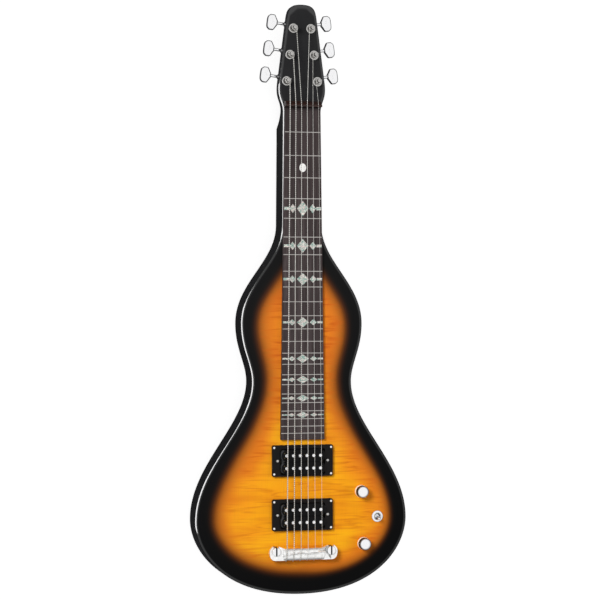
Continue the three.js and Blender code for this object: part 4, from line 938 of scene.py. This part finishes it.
bobbin_black = Finish("bobbin_plastic", specular_ior_level=0.1)
sheen = bobbin_black.noise(80.0, detail=3.0)
sideways, forward, rise = bobbin_black.axes(bobbin_black.here())
# Painted highlight: the rounded ends of each bobbin are painted a lighter grey below its top face, for the
# light that their edges catch.
painted_end_highlight = (sideways.size() - 0.0268).band(0.0, 0.0035) * (1.0 - rise.band(0.0541, 0.05458))
bobbin_black.set(base_color=bobbin_black.mix(painted_end_highlight, bobbin_black.mix(
    sheen, (0.001, 0.001, 0.0012), (0.003, 0.003, 0.0034)), (0.09, 0.09, 0.095)), roughness=0.16 + sheen * 0.14)
bobbin_black.bump(sheen, 0.00012, 0.3)


def cross_head(name, radius, height, slot_width, down=False):
    """A domed screw head with a cross recess, seated at height 0."""
    head = turned(name, [
        (0.0, -2.0), (radius * 0.5, -2.0), (radius * 0.5, -0.4), (radius, 0.0), (radius * 0.97, height * 0.35),
        (radius * 0.8, height * 0.72), (radius * 0.45, height * 0.95), (0.0, height)], chrome, 20)
    reach, half, low = radius * 0.62, slot_width / 2, height * 0.35
    head = cut_out(head, [box(-reach, reach, -half, half, low, height * 2),
                          box(-half, half, -reach, reach, low, height * 2)])
    if down:
        head.data.transform(Matrix.Rotation(math.pi, 4, "X"))
    return head


for name, y in PICKUPS.items():
    width, length, height, corner = RING
    ring_y, ring_top = y + RING_LEAD, FACE + height
    plan = rounded_rectangle(0, ring_y, width, length, corner)
    surround = bevelled(prism(name + "_ring", plan, FACE, ring_top), RING_ROUND, 4)
    surround = cut_out(surround, [
        prism("window", rounded_rectangle(0, y, *WINDOW), FACE - 5, ring_top + 5),
        *(prism("screw_seat", ring(side * HEIGHT_SCREW_X, ring_y, HEIGHT_SCREW_SEAT), FACE - 5, ring_top + 5)
          for side in (-1, 1))])
    dressed(even_shading(surround), moulded, "black_plastic", name + "_pickup_ring")
    for side, mark in ((-1, "bass"), (1, "treble")):
        screw = turned(f"{name}_height_screw_{mark}", [
            (0.0, -17.4), (1.4, -17.4), (1.4, -3.4), (2.1, -2.6), (2.1, -0.1), (1.7, 0.4), (0.9, 0.6),
            (0.0, 0.65)], nickel, 32)
        screw = cut_out(screw, [box(-3.5, 3.5, -0.4, 0.4, -0.3, 2.0)])
        dressed(moved(screw, side * HEIGHT_SCREW_X, ring_y, ring_top), nickel, "zinc_steel")
    corners = [(sx * RING_SCREW_X, ring_y + sy * RING_SCREW_Y, ring_top) for sx in (-1, 1) for sy in (-1, 1)]
    fitted_at(name + "_ring_screws", cross_head("screw", *RING_SCREW_HEAD), corners, chrome, "chrome")

    body = name + "_pickup"
    width, length, height = BOBBIN
    low, soft = BOBBIN_TOP - height, BOBBIN_SOFT
    steps = [(0.0, low), (0.0, low + FLANGE), (COIL_INSET, low + FLANGE + 0.2),
             (COIL_INSET, BOBBIN_TOP - FLANGE - 0.2), (0.0, BOBBIN_TOP - FLANGE), (0.0, BOBBIN_TOP - soft),
             (soft * 0.13, BOBBIN_TOP - soft * 0.5), (soft * 0.5, BOBBIN_TOP - soft * 0.13), (soft, BOBBIN_TOP)]
    for side, mark in ((1, "front"), (-1, "back")):
        rings = [at_height(stadium(y + side * BOBBIN_PITCH / 2, width - 2 * inset, length - 2 * inset), z)
                 for inset, z in steps]
        spool = even_shading(lofted(f"{name}_bobbin_{mark}", rings, bobbin_black))
        dressed(spool, bobbin_black, "bobbin_plastic", f"{name}_pickup_bobbin_{mark}", body=body)
    span = BRIDGE_SPAN + (NUT_SPAN - BRIDGE_SPAN) * y / NUT_Y
    places = [(string_x(k + 1, span), y + side * BOBBIN_PITCH / 2, BOBBIN_TOP)
              for side in (-1, 1) for k in range(6)]
    pole = turned("pole", [(0.0, -1.3), (POLE_RADIUS, -1.3), (POLE_RADIUS, POLE_PROUD * 0.55),
                           (POLE_RADIUS * 0.9, POLE_PROUD * 0.85), (POLE_RADIUS * 0.6, POLE_PROUD),
                           (0.0, POLE_PROUD * 1.05)], chrome, 28)
    fitted_at(name + "_poles", pole, places, chrome, "chrome", body)
    eyelet = turned("eyelet", [(0.4, -0.5), (0.8, -0.5), (0.8, 0.1), (0.6, 0.25), (0.4, 0.1)], brass, 16)
    places = [(EYELET_X, y + side * BOBBIN_PITCH / 2 + sy * EYELET_SPREAD, BOBBIN_TOP)
              for side in (-1, 1) for sy in (-1, 1)]
    fitted_at(name + "_eyelets", eyelet, places, brass, "brass", body)
    coated(name + "_pickup_baseplate", dull_brass)
    coated(name + "_pickup_magnet", ferrite)

# Controls: volume and tone potentiometers under the top, each with a hollow domed chrome knob pressed on
# its brass shaft, and a three-way toggle switch between them with a round dress nut.
KNOB_RADIUS, KNOB_NECK, KNOB_LOW, KNOB_HIGH = 9.4, 8.6, 44.8, 60.4
KNOB_DOME = 3.4
KNOB_WALL = 1.5
KNOB_BORE = 3.3
LEVER_PIVOT = 40.8
LEVER_TILT = math.radians(12)
SWITCH_NUT, SWITCH_WELL = 8.6, 4.1
SWITCH_FRAME = (7.0, 9.0, 15.0)
UNDER_CEILING = CAVITY_CEILING - 0.3
knob_chrome = Finish("knob_chrome", specular_ior_level=0.1)
rise = knob_chrome.axes(knob_chrome.here())[2] * 1000.0
knurl = knob_chrome.noise((900.0, 900.0, 60.0), detail=2.0)
# Painted reflections: a band over the knob's side and the shoulder of its dome is painted a dull near black,
# and its foot a diffuse warm white, for the dark and the light that a chrome knob mirrors there.
painted_dark_band = rise.band(49.4, 50.0) * (1.0 - rise.band(57.4, 57.9))
painted_light_foot = 1.0 - rise.band(49.0, 49.6)
polished = knob_chrome.mix(painted_light_foot, (0.9, 0.9, 0.91), (0.95, 0.93, 0.86))
painted_dark_colour = knob_chrome.mix(knurl, (0.002, 0.002, 0.002), (0.006, 0.006, 0.007))
knob_chrome.set(base_color=knob_chrome.mix(painted_dark_band, polished, painted_dark_colour),
                metallic=(1.0 - painted_dark_band) * (1.0 - painted_light_foot * 0.8),
                roughness=0.06 + (painted_dark_band + painted_light_foot) * 0.32 + knurl * 0.06)
knob_chrome.bump(knurl * (painted_light_foot + painted_dark_band), 0.0002, 0.5)
KNOB_TALL = KNOB_HIGH - KNOB_LOW
dome = [(KNOB_NECK * math.cos(a), KNOB_TALL - KNOB_DOME + KNOB_DOME * math.sin(a))
        for a in np.linspace(0.0, math.pi / 2, 15)[:-1]]
for name in ("volume", "tone"):
    cap = turned(name + "_dome", [
        (KNOB_RADIUS - KNOB_WALL, 0.0), (KNOB_RADIUS - 0.25, 0.0), (KNOB_RADIUS, 0.3),
        (KNOB_RADIUS - 0.05, 1.4), (KNOB_NECK + 0.25, 5.0), (KNOB_NECK, 6.2), *dome, (0.0, KNOB_TALL),
        (0.0, 12.0), (KNOB_BORE, 12.0), (KNOB_BORE, 5.0), (KNOB_RADIUS - KNOB_WALL, 5.0)], knob_chrome, 64)
    dressed(moved(cap, *CONTROLS[name], KNOB_LOW), knob_chrome, "chrome", name + "_knob",
            body=name + "_control")
    coated(name + "_pot", steel)
    coated(name + "_shaft", brass)


def joined_with(made, others):
    return cut_out(made, others, "UNION")


x, y = CONTROLS["switch"]
half_x, half_y, tall = SWITCH_FRAME
case = bevelled(box(x - half_x, x + half_x, y - half_y, y + half_y, UNDER_CEILING - tall, UNDER_CEILING,
                    "switch_frame"), 0.6, 2)
barrel = moved(turned("switch_barrel", [
    (0.0, 34.4), (5.8, 34.4), (5.8, 44.3), (SWITCH_NUT, 44.3), (SWITCH_NUT, 45.2), (SWITCH_NUT - 0.35, 45.75),
    (SWITCH_NUT - 1.2, 46.1), (6.1, 46.3), (5.7, 46.7), (0.0, 46.7)], chrome, 64), x, y)
case = cut_out(joined_with(case, [barrel]), [prism("well", ring(x, y, SWITCH_WELL), 30.2, 60.0)])
dressed(even_shading(case), chrome, "chrome", "switch_body")
bat = turned("lever", [
    (0.0, -6.7), (1.5, -6.7), (1.5, -3.7), (2.6, -2.9), (3.4, -1.5), (3.7, 0.0), (3.4, 1.5), (2.6, 2.9),
    (1.5, 3.6), (1.35, 6.0), (1.45, 9.0), (1.8, 11.0), (2.2, 12.6), (2.25, 13.7), (1.9, 14.6), (1.1, 15.1),
    (0.0, 15.25)], chrome, 40, crease=60)
bat.data.transform(Matrix.Rotation(LEVER_TILT, 4, "X"))
dressed(moved(bat, x, y, LEVER_PIVOT), chrome, "chrome", "switch_lever", body="switch_lever_tilted")

# Output jack: a threaded barrel through the treble side, with a round flange in a shallow seat and a
# hexagonal nut, and the cover of the control cavity, a black plate let into the back with six screws.
JACK_NUT, JACK_NUT_BORE = 6.6, 4.65
COVER_LOW, COVER_HIGH, COVER_GAP = 0.4, 2.4, 0.3
COVER_SCREW_HEAD = (2.4, 0.5, 0.7)
COVER_SCREW_LIP = 0.4
socket = turned("jack_socket", [
    (3.25, -26.7), (5.6, -26.7), (5.6, 0.3), (8.2, 0.3), (8.5, 0.6), (8.5, 1.9), (8.1, 2.3), (4.6, 2.3),
    (4.6, 4.4), (4.2, 4.8), (3.6, 4.8), (3.25, 4.4)], chrome, 48)
dressed(moved(laid(socket, "X"), *JACK), chrome, "chrome", "output_jack")
jack_nut = cut_out(bevelled(prism("jack_nut", ring(0, 0, JACK_NUT, 6), 2.35, 4.1), 0.35, 2),
                   [prism("bore", ring(0, 0, JACK_NUT_BORE), -1.0, 9.0)])
dressed(moved(laid(jack_nut, "X"), *JACK), chrome, "chrome")

x, y, width, length, corner = CAVITY
lip = COVER_LIP - COVER_GAP
plan = rounded_rectangle(x, y, width + 2 * lip, length + 2 * lip, corner + lip, 12)
cover = bevelled(prism("cavity_cover", plan, COVER_LOW, COVER_HIGH), 0.3, 2)
dressed(cover, moulded, "black_plastic", "control_cover")
reach_x, reach_y, seat = width / 2 + COVER_SCREW_LIP, length / 2 + COVER_SCREW_LIP, COVER_LOW + 0.05
places = [(x + sx * reach_x, y + sy * reach_y * 0.62, seat) for sx in (-1, 1) for sy in (-1, 1)]
places += [(x, y + sy * reach_y, seat) for sy in (-1, 1)]
fitted_at("cover_screws", cross_head("screw", *COVER_SCREW_HEAD, down=True), places, chrome, "chrome")

# Bridge: a wraparound bar of plated zinc. An oval bar with a stepped ridge ends in two hooked ears, which
# the strings pull against two slotted steel studs in anchors in the top.
BAR_Y, BAR_Z = -4.8, 53.0
BAR = (61.5, 17.5, 12.0)
RIDGE_BASE = 3.6
RIDGE_STEPS = (0.2, 0.5, 0.7, 0.45, 0.65, 0.9)
RIDGE_SPREAD = 6.0
BRIDGE_STRING_Z, NUT_STRING_Z = 61.3, 59.5
STRING_RADII = (0.19, 0.23, 0.33, 0.455, 0.585, 0.71)
EAR_RADIUS, EAR_THICK, EAR_ROUND = 9.6, 5.5, 1.3
EAR_Y = -1.2
HOOK = 4.2
HOLE_Z = BAR_Z - 1.4
plating = Finish("bridge_plating", metallic=0.6)
worn = plating.noise(300.0, detail=4.0)
plating.set(base_color=plating.mix(worn.band(0.35, 0.6), (0.84, 0.84, 0.83), (0.98, 0.98, 0.97)),
            roughness=0.18 + worn * 0.14)
plating.bump(worn, 0.00003, 0.15)
long, wide, tall = BAR
rear, front, root = BAR_Y - wide / 2, BAR_Y + wide / 2, long / 2 - 3.0
oval = ring(0, 0, 1.0, 72) * (wide / 2, tall / 2)
ends = [(1.2, -long / 2), (0.35, 0.35 - long / 2), (0.0, 1.2 - long / 2)]
ends += [(inset, -x) for inset, x in reversed(ends)]
bar = lofted("bridge_casting", [
    np.column_stack([np.full(72, x), BAR_Y + oval[:, 0] * (1 - 2 * inset / wide),
                     BAR_Z + oval[:, 1] * (1 - 2 * inset / tall)]) for inset, x in ends], plating)
grown = []
for side in (-1, 1):
    outer = STUD_X + EAR_RADIUS
    curve = bezier(12, (STUD_X, rear + 0.4), (outer, rear + 0.4), (outer, EAR_Y))
    turn = np.linspace(0, 0.6 * math.pi, 17)[1:]
    arc = np.stack([STUD_X + EAR_RADIUS * np.cos(turn), EAR_Y + EAR_RADIUS * np.sin(turn)], 1)
    plan = np.vstack([[(root, rear + 0.4), (STUD_X, rear + 0.4)], curve, arc, [(root, front - 0.4)]])
    if side < 0:
        plan = plan[::-1] * (-1, 1)
    ear = prism("ear", plan, BAR_Z - EAR_THICK / 2, BAR_Z + EAR_THICK / 2)
    grown.append(bevelled(ear, EAR_ROUND, 4))
for number, step in enumerate(RIDGE_STEPS, 1):
    x, y, half = string_x(number, BRIDGE_SPAN), -RIDGE_SPREAD * step, BRIDGE_SPAN / 10
    crest = BRIDGE_STRING_Z - STRING_RADII[number - 1] - 0.3
    wedge = np.array([(y - RIDGE_BASE, BAR_Z), (y + RIDGE_BASE, BAR_Z), (y + 0.35, crest), (y - 0.35, crest)])
    grown.append(laid(prism("step", wedge, x - half, x + half), "X"))
tools = []
for x in (-STUD_X, STUD_X):
    tools.append(prism("hook", ring(x, 0, HOOK), BAR_Z - 4, BAR_Z + 4))
    tools.append(box(x - HOOK, x + HOOK, 0, EAR_RADIUS + 3, BAR_Z - 4, BAR_Z + 4))
for number in range(1, 7):
    for radius, low, high in ((1.5, BAR_Y - wide, BAR_Y + wide), (2.7, front - 5, BAR_Y + wide)):
        hole = laid(prism("hole", ring(0, 0, radius, 24), low, high), "Y")
        tools.append(moved(hole, string_x(number, BRIDGE_SPAN), 0, HOLE_Z))
bar = cut_out(joined_with(bar, grown), tools)
dressed(even_shading(bar, 32), plating, "chrome", "bridge_bar")

for side, mark in ((-1, "bass"), (1, "treble")):
    head = BAR_Z + EAR_THICK / 2 + 0.3
    stud = turned("stud_" + mark, [
        (0.0, 26.0), (3.5, 26.0), (3.9, 26.5), (3.9, 48.35), (5.8, 48.35), (6.0, 48.6), (6.0, 49.7),
        (5.8, 49.95), (3.9, 49.95), (3.9, head), (6.1, head), (6.4, head + 0.3), (6.4, head + 2.1),
        (6.2, head + 2.5), (5.7, head + 2.8), (0.0, head + 2.8)], chrome, 56)
    stud = cut_out(stud, [box(-1.1, 1.1, -9, 9, head + 0.9, head + 4)])
    stud.data.set_sharp_from_angle(angle=math.radians(30))
    # The slot's floor is marked for the chrome's painted shade, near black with some grime.
    heights = np.array([v.co.z for v in stud.data.vertices]) / MM
    marked(stud, "grime", np.abs(heights - head - 0.9) < 0.02)
    dressed(moved(stud, side * STUD_X, 0), chrome, "chrome", "bridge_stud_" + mark)
    coated("stud_anchor_" + mark, steel)

# Machine heads: six sealed worm gears behind the headstock. A button turns a worm, the worm a wheel on the
# foot of the string post, and a round washered bushing holds the post in the face.
POST_RADIUS, POST_WAIST, POST_HIGH = 3.1, 2.7, 29.6
HEAD_FACE = 13.0
KEY_Y, KEY_Z = 7.0, -5.6
WHEEL_PITCH, TOOTH, TEETH = 4.6, 0.45, 14
WHEEL_ROOM, POST_ROOM, JOURNAL, KEY_BORE = 5.5, 3.5, 1.85, 2.35
WORM_MEAN = 2.05
WORM_LEAD = 2 * math.pi * WHEEL_PITCH / TEETH
WORM_TURNS = 3
HOUSING = (-7.125, 7.125, -7.125, 11.35, -10.6, -0.3)
BUTTON_START, BUTTON_LENGTH, BUTTON_WIDTH, BUTTON_THICK = 20.6, 16.0, 23.0, 8.0
BUTTON_SHARES = ((0, 0.15), (0.05, 0.18), (0.29, 0.47), (0.38, 0.5), (0.68, 0.5), (0.75, 0.49), (1, 0.34))
BUTTON_ROUND = 2.6
BUTTON_PILLOW = ((0.12, 0.24), (0.5, 0.18), (0.8, 0.08))
HOUSING_ROUND = 1.8


def smoothed(loop, share=0.2, rounds=3):
    """Cuts the corners of a closed loop, less each time, until they look softened."""
    for _ in range(rounds):
        ahead = np.roll(loop, -1, 0)
        loop = np.stack([loop * (1 - share) + ahead * share, loop * share + ahead * (1 - share)], 1)
        loop = loop.reshape(-1, 2)
    return loop


def at_key(made):
    """Moves a piece that turns with the key, or a room for one, to the key's axis."""
    return moved(made, 0, KEY_Y, KEY_Z)


def tuner_housing():
    left, right, near, far, low, high = HOUSING
    plan = rounded_rectangle((left + right) / 2, (near + far) / 2, right - left, far - near, 4.0, 10)
    rings = [at_height(points, low + rise) for points, rise in rounded_rim(plan, HOUSING_ROUND, 6)]
    shell = lofted("housing", [*rings, at_height(plan, high)], chrome)
    collar = turned("collar", [(0.0, 0.0), (3.7, 0.0), (3.7, right + 2.7), (3.4, right + 3.3),
                               (3.0, right + 3.4), (0.0, right + 3.4)], chrome, 32)
    shell = joined_with(shell, [at_key(laid(collar, "X"))])
    worm_room, end_x = WORM_MEAN + TOOTH + 0.35, WORM_TURNS * WORM_LEAD / 2 + 0.3
    rooms = [prism("room", ring(0, 0, radius), start, end) for radius, start, end in (
        (WHEEL_ROOM, -7.4, -3.8), (POST_ROOM, -7.4, 5.0), (JOURNAL, -9.0, -3.8))]
    rooms += [at_key(laid(prism("room", ring(0, 0, radius), start, end), "X")) for radius, start, end in (
        (worm_room, -end_x, end_x), (JOURNAL, -end_x - 1.6, 0.0), (KEY_BORE, 0.0, right + 9.0))]
    return even_shading(cut_out(shell, rooms))


def tuner_post():
    base = KEY_Z - 1.5
    stem = turned("post", [
        (0.0, base - 1.6), (1.5, base - 1.6), (1.5, base), (POST_RADIUS, base), (POST_RADIUS, HEAD_FACE + 5.0),
        (POST_WAIST + 0.08, HEAD_FACE + 5.5), (POST_WAIST, HEAD_FACE + 6.0), (POST_WAIST, HEAD_FACE + 11.0),
        (POST_WAIST + 0.08, HEAD_FACE + 11.5), (POST_RADIUS, HEAD_FACE + 12.0), (POST_RADIUS, POST_HIGH - 0.9),
        (POST_RADIUS - 0.3, POST_HIGH - 0.3), (POST_RADIUS - 0.9, POST_HIGH), (1.5, POST_HIGH),
        (1.1, POST_HIGH - 0.5), (0.0, POST_HIGH - 0.7)], chrome, 40)
    hole = moved(laid(prism("hole", ring(0, 0, 0.95, 20), -6.0, 6.0), "X"), 0, 0, HEAD_FACE + 13.6)
    angles = np.arange(TEETH * 10) * 2 * math.pi / (TEETH * 10)
    radius = (WHEEL_PITCH - TOOTH * np.cos(TEETH * (angles - math.pi / 2)))[:, None]
    rings = []
    for z in np.linspace(-1.5, 1.5, 5):
        lean = WORM_LEAD / (2 * math.pi * WORM_MEAN) * z / WHEEL_PITCH
        rings.append(at_height(radius * np.stack([np.cos(angles + lean), np.sin(angles + lean)], 1), KEY_Z + z))
    stem = joined_with(cut_out(stem, [hole]), [lofted("wheel", rings, brass)])
    stem.data.set_sharp_from_angle(angle=math.radians(30))
    return stem


def tuner_key():
    rings = []
    around = ring(0, 0, WORM_MEAN, 24)
    for along in np.linspace(-0.5, 0.5, 61) * WORM_TURNS * WORM_LEAD:
        phase = 2 * math.pi * along / WORM_LEAD + math.pi
        centre = (KEY_Y + TOOTH * math.cos(phase), KEY_Z + TOOTH * math.sin(phase))
        rings.append(np.column_stack([np.full(24, along), around + centre]))
    screw = lofted("key", rings, chrome)
    end = WORM_TURNS * WORM_LEAD / 2
    rod = turned("rod", [(0.0, -end - 1.6), (1.5, -end - 1.6), (1.5, end + 0.8), (2.0, end + 0.8),
                         (2.0, BUTTON_START + 2.0), (0.0, BUTTON_START + 2.0)], chrome, 32)
    half = np.array(BUTTON_SHARES) * (BUTTON_LENGTH, BUTTON_WIDTH) + (BUTTON_START, 0)
    plan = smoothed(np.vstack([half * (1, -1), half[::-1]]))
    cap = plan - outward(plan) * BUTTON_ROUND
    middle = cap.mean(0)
    rings = [at_height(middle + (cap - middle) * share, -BUTTON_THICK / 2 - swell)
             for share, swell in BUTTON_PILLOW]
    rings += [at_height(points, rise - BUTTON_THICK / 2) for points, rise in rounded_rim(plan, BUTTON_ROUND, 7)]
    rings += [r * (1, 1, -1) for r in reversed(rings)]
    grip = lofted("grip", rings, chrome, crease=60)
    return even_shading(joined_with(screw, [at_key(laid(rod, "X")), at_key(grip)]), 35)


def tuner_bushing():
    bushing = turned("bushing", [
        (3.4, -9.3), (4.8, -9.3), (4.8, 0.0), (6.75, 0.0), (6.95, 0.2), (6.95, 0.9), (6.75, 1.25), (6.3, 1.5),
        (5.2, 1.5), (5.0, 1.7), (5.0, 2.4), (4.7, 2.8), (3.7, 2.8), (3.4, 2.5)], chrome, 56)
    return moved(bushing, 0, 0, HEAD_FACE + 0.3)


def tuner_frame(side, x, y):
    """From a machine head's own axes to its place. The bass side takes the mirror image."""
    place = Matrix.Translation(Vector((side * x, y, HEAD_BACK)) * MM)
    return place @ Matrix.Rotation(side * SIDE_ANGLE, 4, "Z") @ Matrix.Diagonal((side, 1, 1, 1))


patterns = {"housing": tuner_housing(), "post": tuner_post(), "key": tuner_key(), "bushing": tuner_bushing()}
tuner_spots = {}
for number in range(1, 7):
    side = 1 if number <= 3 else -1
    y = TUNER_STATIONS[number - 1 if side > 0 else 6 - number]
    x = head_half_width(y) - POST_INSET
    tuner_spots[number] = (side, side * x, y)
    for piece, pattern in patterns.items():
        made = placed(f"machine_{number}_{piece}", pattern.data.copy())
        made.data.transform(tuner_frame(side, x, y))
        if side < 0:
            made.data.flip_normals()
        body = f"tuner_{number}_{piece}_turned" if piece in ("post", "key") else "root"
        finish = nickel if piece in ("bushing", "post") else chrome
        dressed(made, finish, "chrome", f"tuner_{number}_{piece}", body=body)
for pattern in patterns.values():
    bpy.data.objects.remove(pattern)

# Strings: plain steel for the top three and nickel-wound for the low three. Each is held by its brass ball
# in the bar's front pocket, goes back through the bar, wraps over it and runs to the nut and two turns
# round its post.
WOUND_FROM = 4
BALL_RADIUS, BALL_LENGTH = 2.0, 3.0
WRAP_TURNS = 2
WRAP_GAP = 0.55
WRAP_STEPS = 40
wire = Pattern("wire_on_a_path", path=bpy.types.Object, radius=float, sides=int, finish=bpy.types.Material)
run = wire.node("GeometryNodeObjectInfo", None, {"Object": wire.given("path")}, output="Geometry")
run = wire.node("GeometryNodeMeshToCurve", None, {"Mesh": run})
along = wire.node("GeometryNodeSplineParameter", output="Length")
run = wire.node("GeometryNodeStoreNamedAttribute", {"data_type": "FLOAT", "domain": "POINT"},
                {"Geometry": run, "Name": "along", "Value": along})
section = wire.node("GeometryNodeCurvePrimitiveCircle", None,
                    {"Resolution": wire.given("sides"), "Radius": wire.given("radius")}, output="Curve")
tube = wire.node("GeometryNodeCurveToMesh", None, {"Curve": run, "Profile Curve": section, "Fill Caps": True})
wire.ends_in(wire.node("GeometryNodeSetShadeSmooth", None, {"Geometry": tube, "Shade Smooth": True}))


def wire_finish(name, low, high, winding=0.0, beads=0.0):
    """Drawn wire, or the ridges of a winding and the longer beads of light that it shows from afar."""
    made = Finish(name, metallic=0.6)
    along = made.attribute("along")
    cloud = made.noise(45.0, detail=3.0)
    if winding:
        made.bump((along * (2 * math.pi / (winding * MM))).sine(), 0.00006, 0.6)
        shine = (along * (2 * math.pi / (beads * MM))).sine() * 0.5 + 0.5
    else:
        made.bump(made.noise(900.0), 0.00002, 0.3)
        shine = cloud
    made.set(base_color=made.mix(shine, low, high), roughness=0.24 + cloud * 0.14)
    return made


plain_wire = wire_finish("plain_steel_wire", (0.8, 0.78, 0.74), (0.96, 0.94, 0.9))
wound_wire = wire_finish("wound_nickel_wire", (0.42, 0.41, 0.38), (1.0, 0.98, 0.93), 0.32, 2.9)


def string_route(number):
    """From the ball's seat back through the bar, over it, to the nut and round the post."""
    radius = STRING_RADII[number - 1]
    bridge_x, nut_x = string_x(number, BRIDGE_SPAN), string_x(number, NUT_SPAN)
    points = [(bridge_x, front - 4.7, HOLE_Z), (bridge_x, rear, HOLE_Z)]
    for angle in np.linspace(-0.12, 0.4, 16) * math.pi:
        points.append((bridge_x, BAR_Y - (wide / 2 + radius + 0.3) * math.cos(angle),
                       BAR_Z + (tall / 2 + radius + 0.3) * math.sin(angle)))
    break_y = -RIDGE_SPREAD * RIDGE_STEPS[number - 1]
    points += [(bridge_x, break_y, BRIDGE_STRING_Z), (nut_x, NUT_Y, NUT_STRING_Z),
               (nut_x, NUT_Y + 2.4, NUT_STRING_Z)]
    side, post_x, post_y = tuner_spots[number]
    wrap = POST_WAIST + radius + 0.3
    away = np.array([post_x - nut_x, post_y - NUT_Y - 2.4])
    start = math.atan2(away[1], away[0]) + math.pi - side * math.acos(wrap / np.hypot(*away))
    for i in range(WRAP_STEPS * WRAP_TURNS + 1):
        angle = start - side * 2 * math.pi * i / WRAP_STEPS
        points.append((post_x + wrap * math.cos(angle), post_y + wrap * math.sin(angle),
                       FACE + 6.2 + radius + (2 * radius + WRAP_GAP) * i / WRAP_STEPS))
    last = np.array(points[-1])
    heading = last - np.array(points[-2])
    return points + [tuple(last + heading / np.linalg.norm(heading) * (2 * radius + 1.55))]


for number in range(1, 7):
    path = bpy.data.meshes.new("path")
    points = np.array(string_route(number)) * MM
    path.from_pydata([tuple(p) for p in points], [(i, i + 1) for i in range(len(points) - 1)], [])
    guide = placed("path", path)
    finish = wound_wire if number >= WOUND_FROM else plain_wire
    made = wire.make(f"wire_{number}", path=guide, radius=STRING_RADII[number - 1] * MM, sides=12,
                     finish=finish.material)
    bpy.data.objects.remove(guide)
    dressed(made, finish, "string_wire", f"string_{number}")
ball = turned("ball", [(0.5, 0.0), (1.7, 0.0), (BALL_RADIUS, 0.4), (1.5, 1.1), (1.5, 1.9),
                       (BALL_RADIUS, BALL_LENGTH - 0.4), (1.7, BALL_LENGTH), (0.5, BALL_LENGTH)], brass, 24)
places = [(string_x(n, BRIDGE_SPAN), front - 4.85, HOLE_Z) for n in range(1, 7)]
fitted_at("string_balls", laid(ball, "Y"), places, brass, "brass")
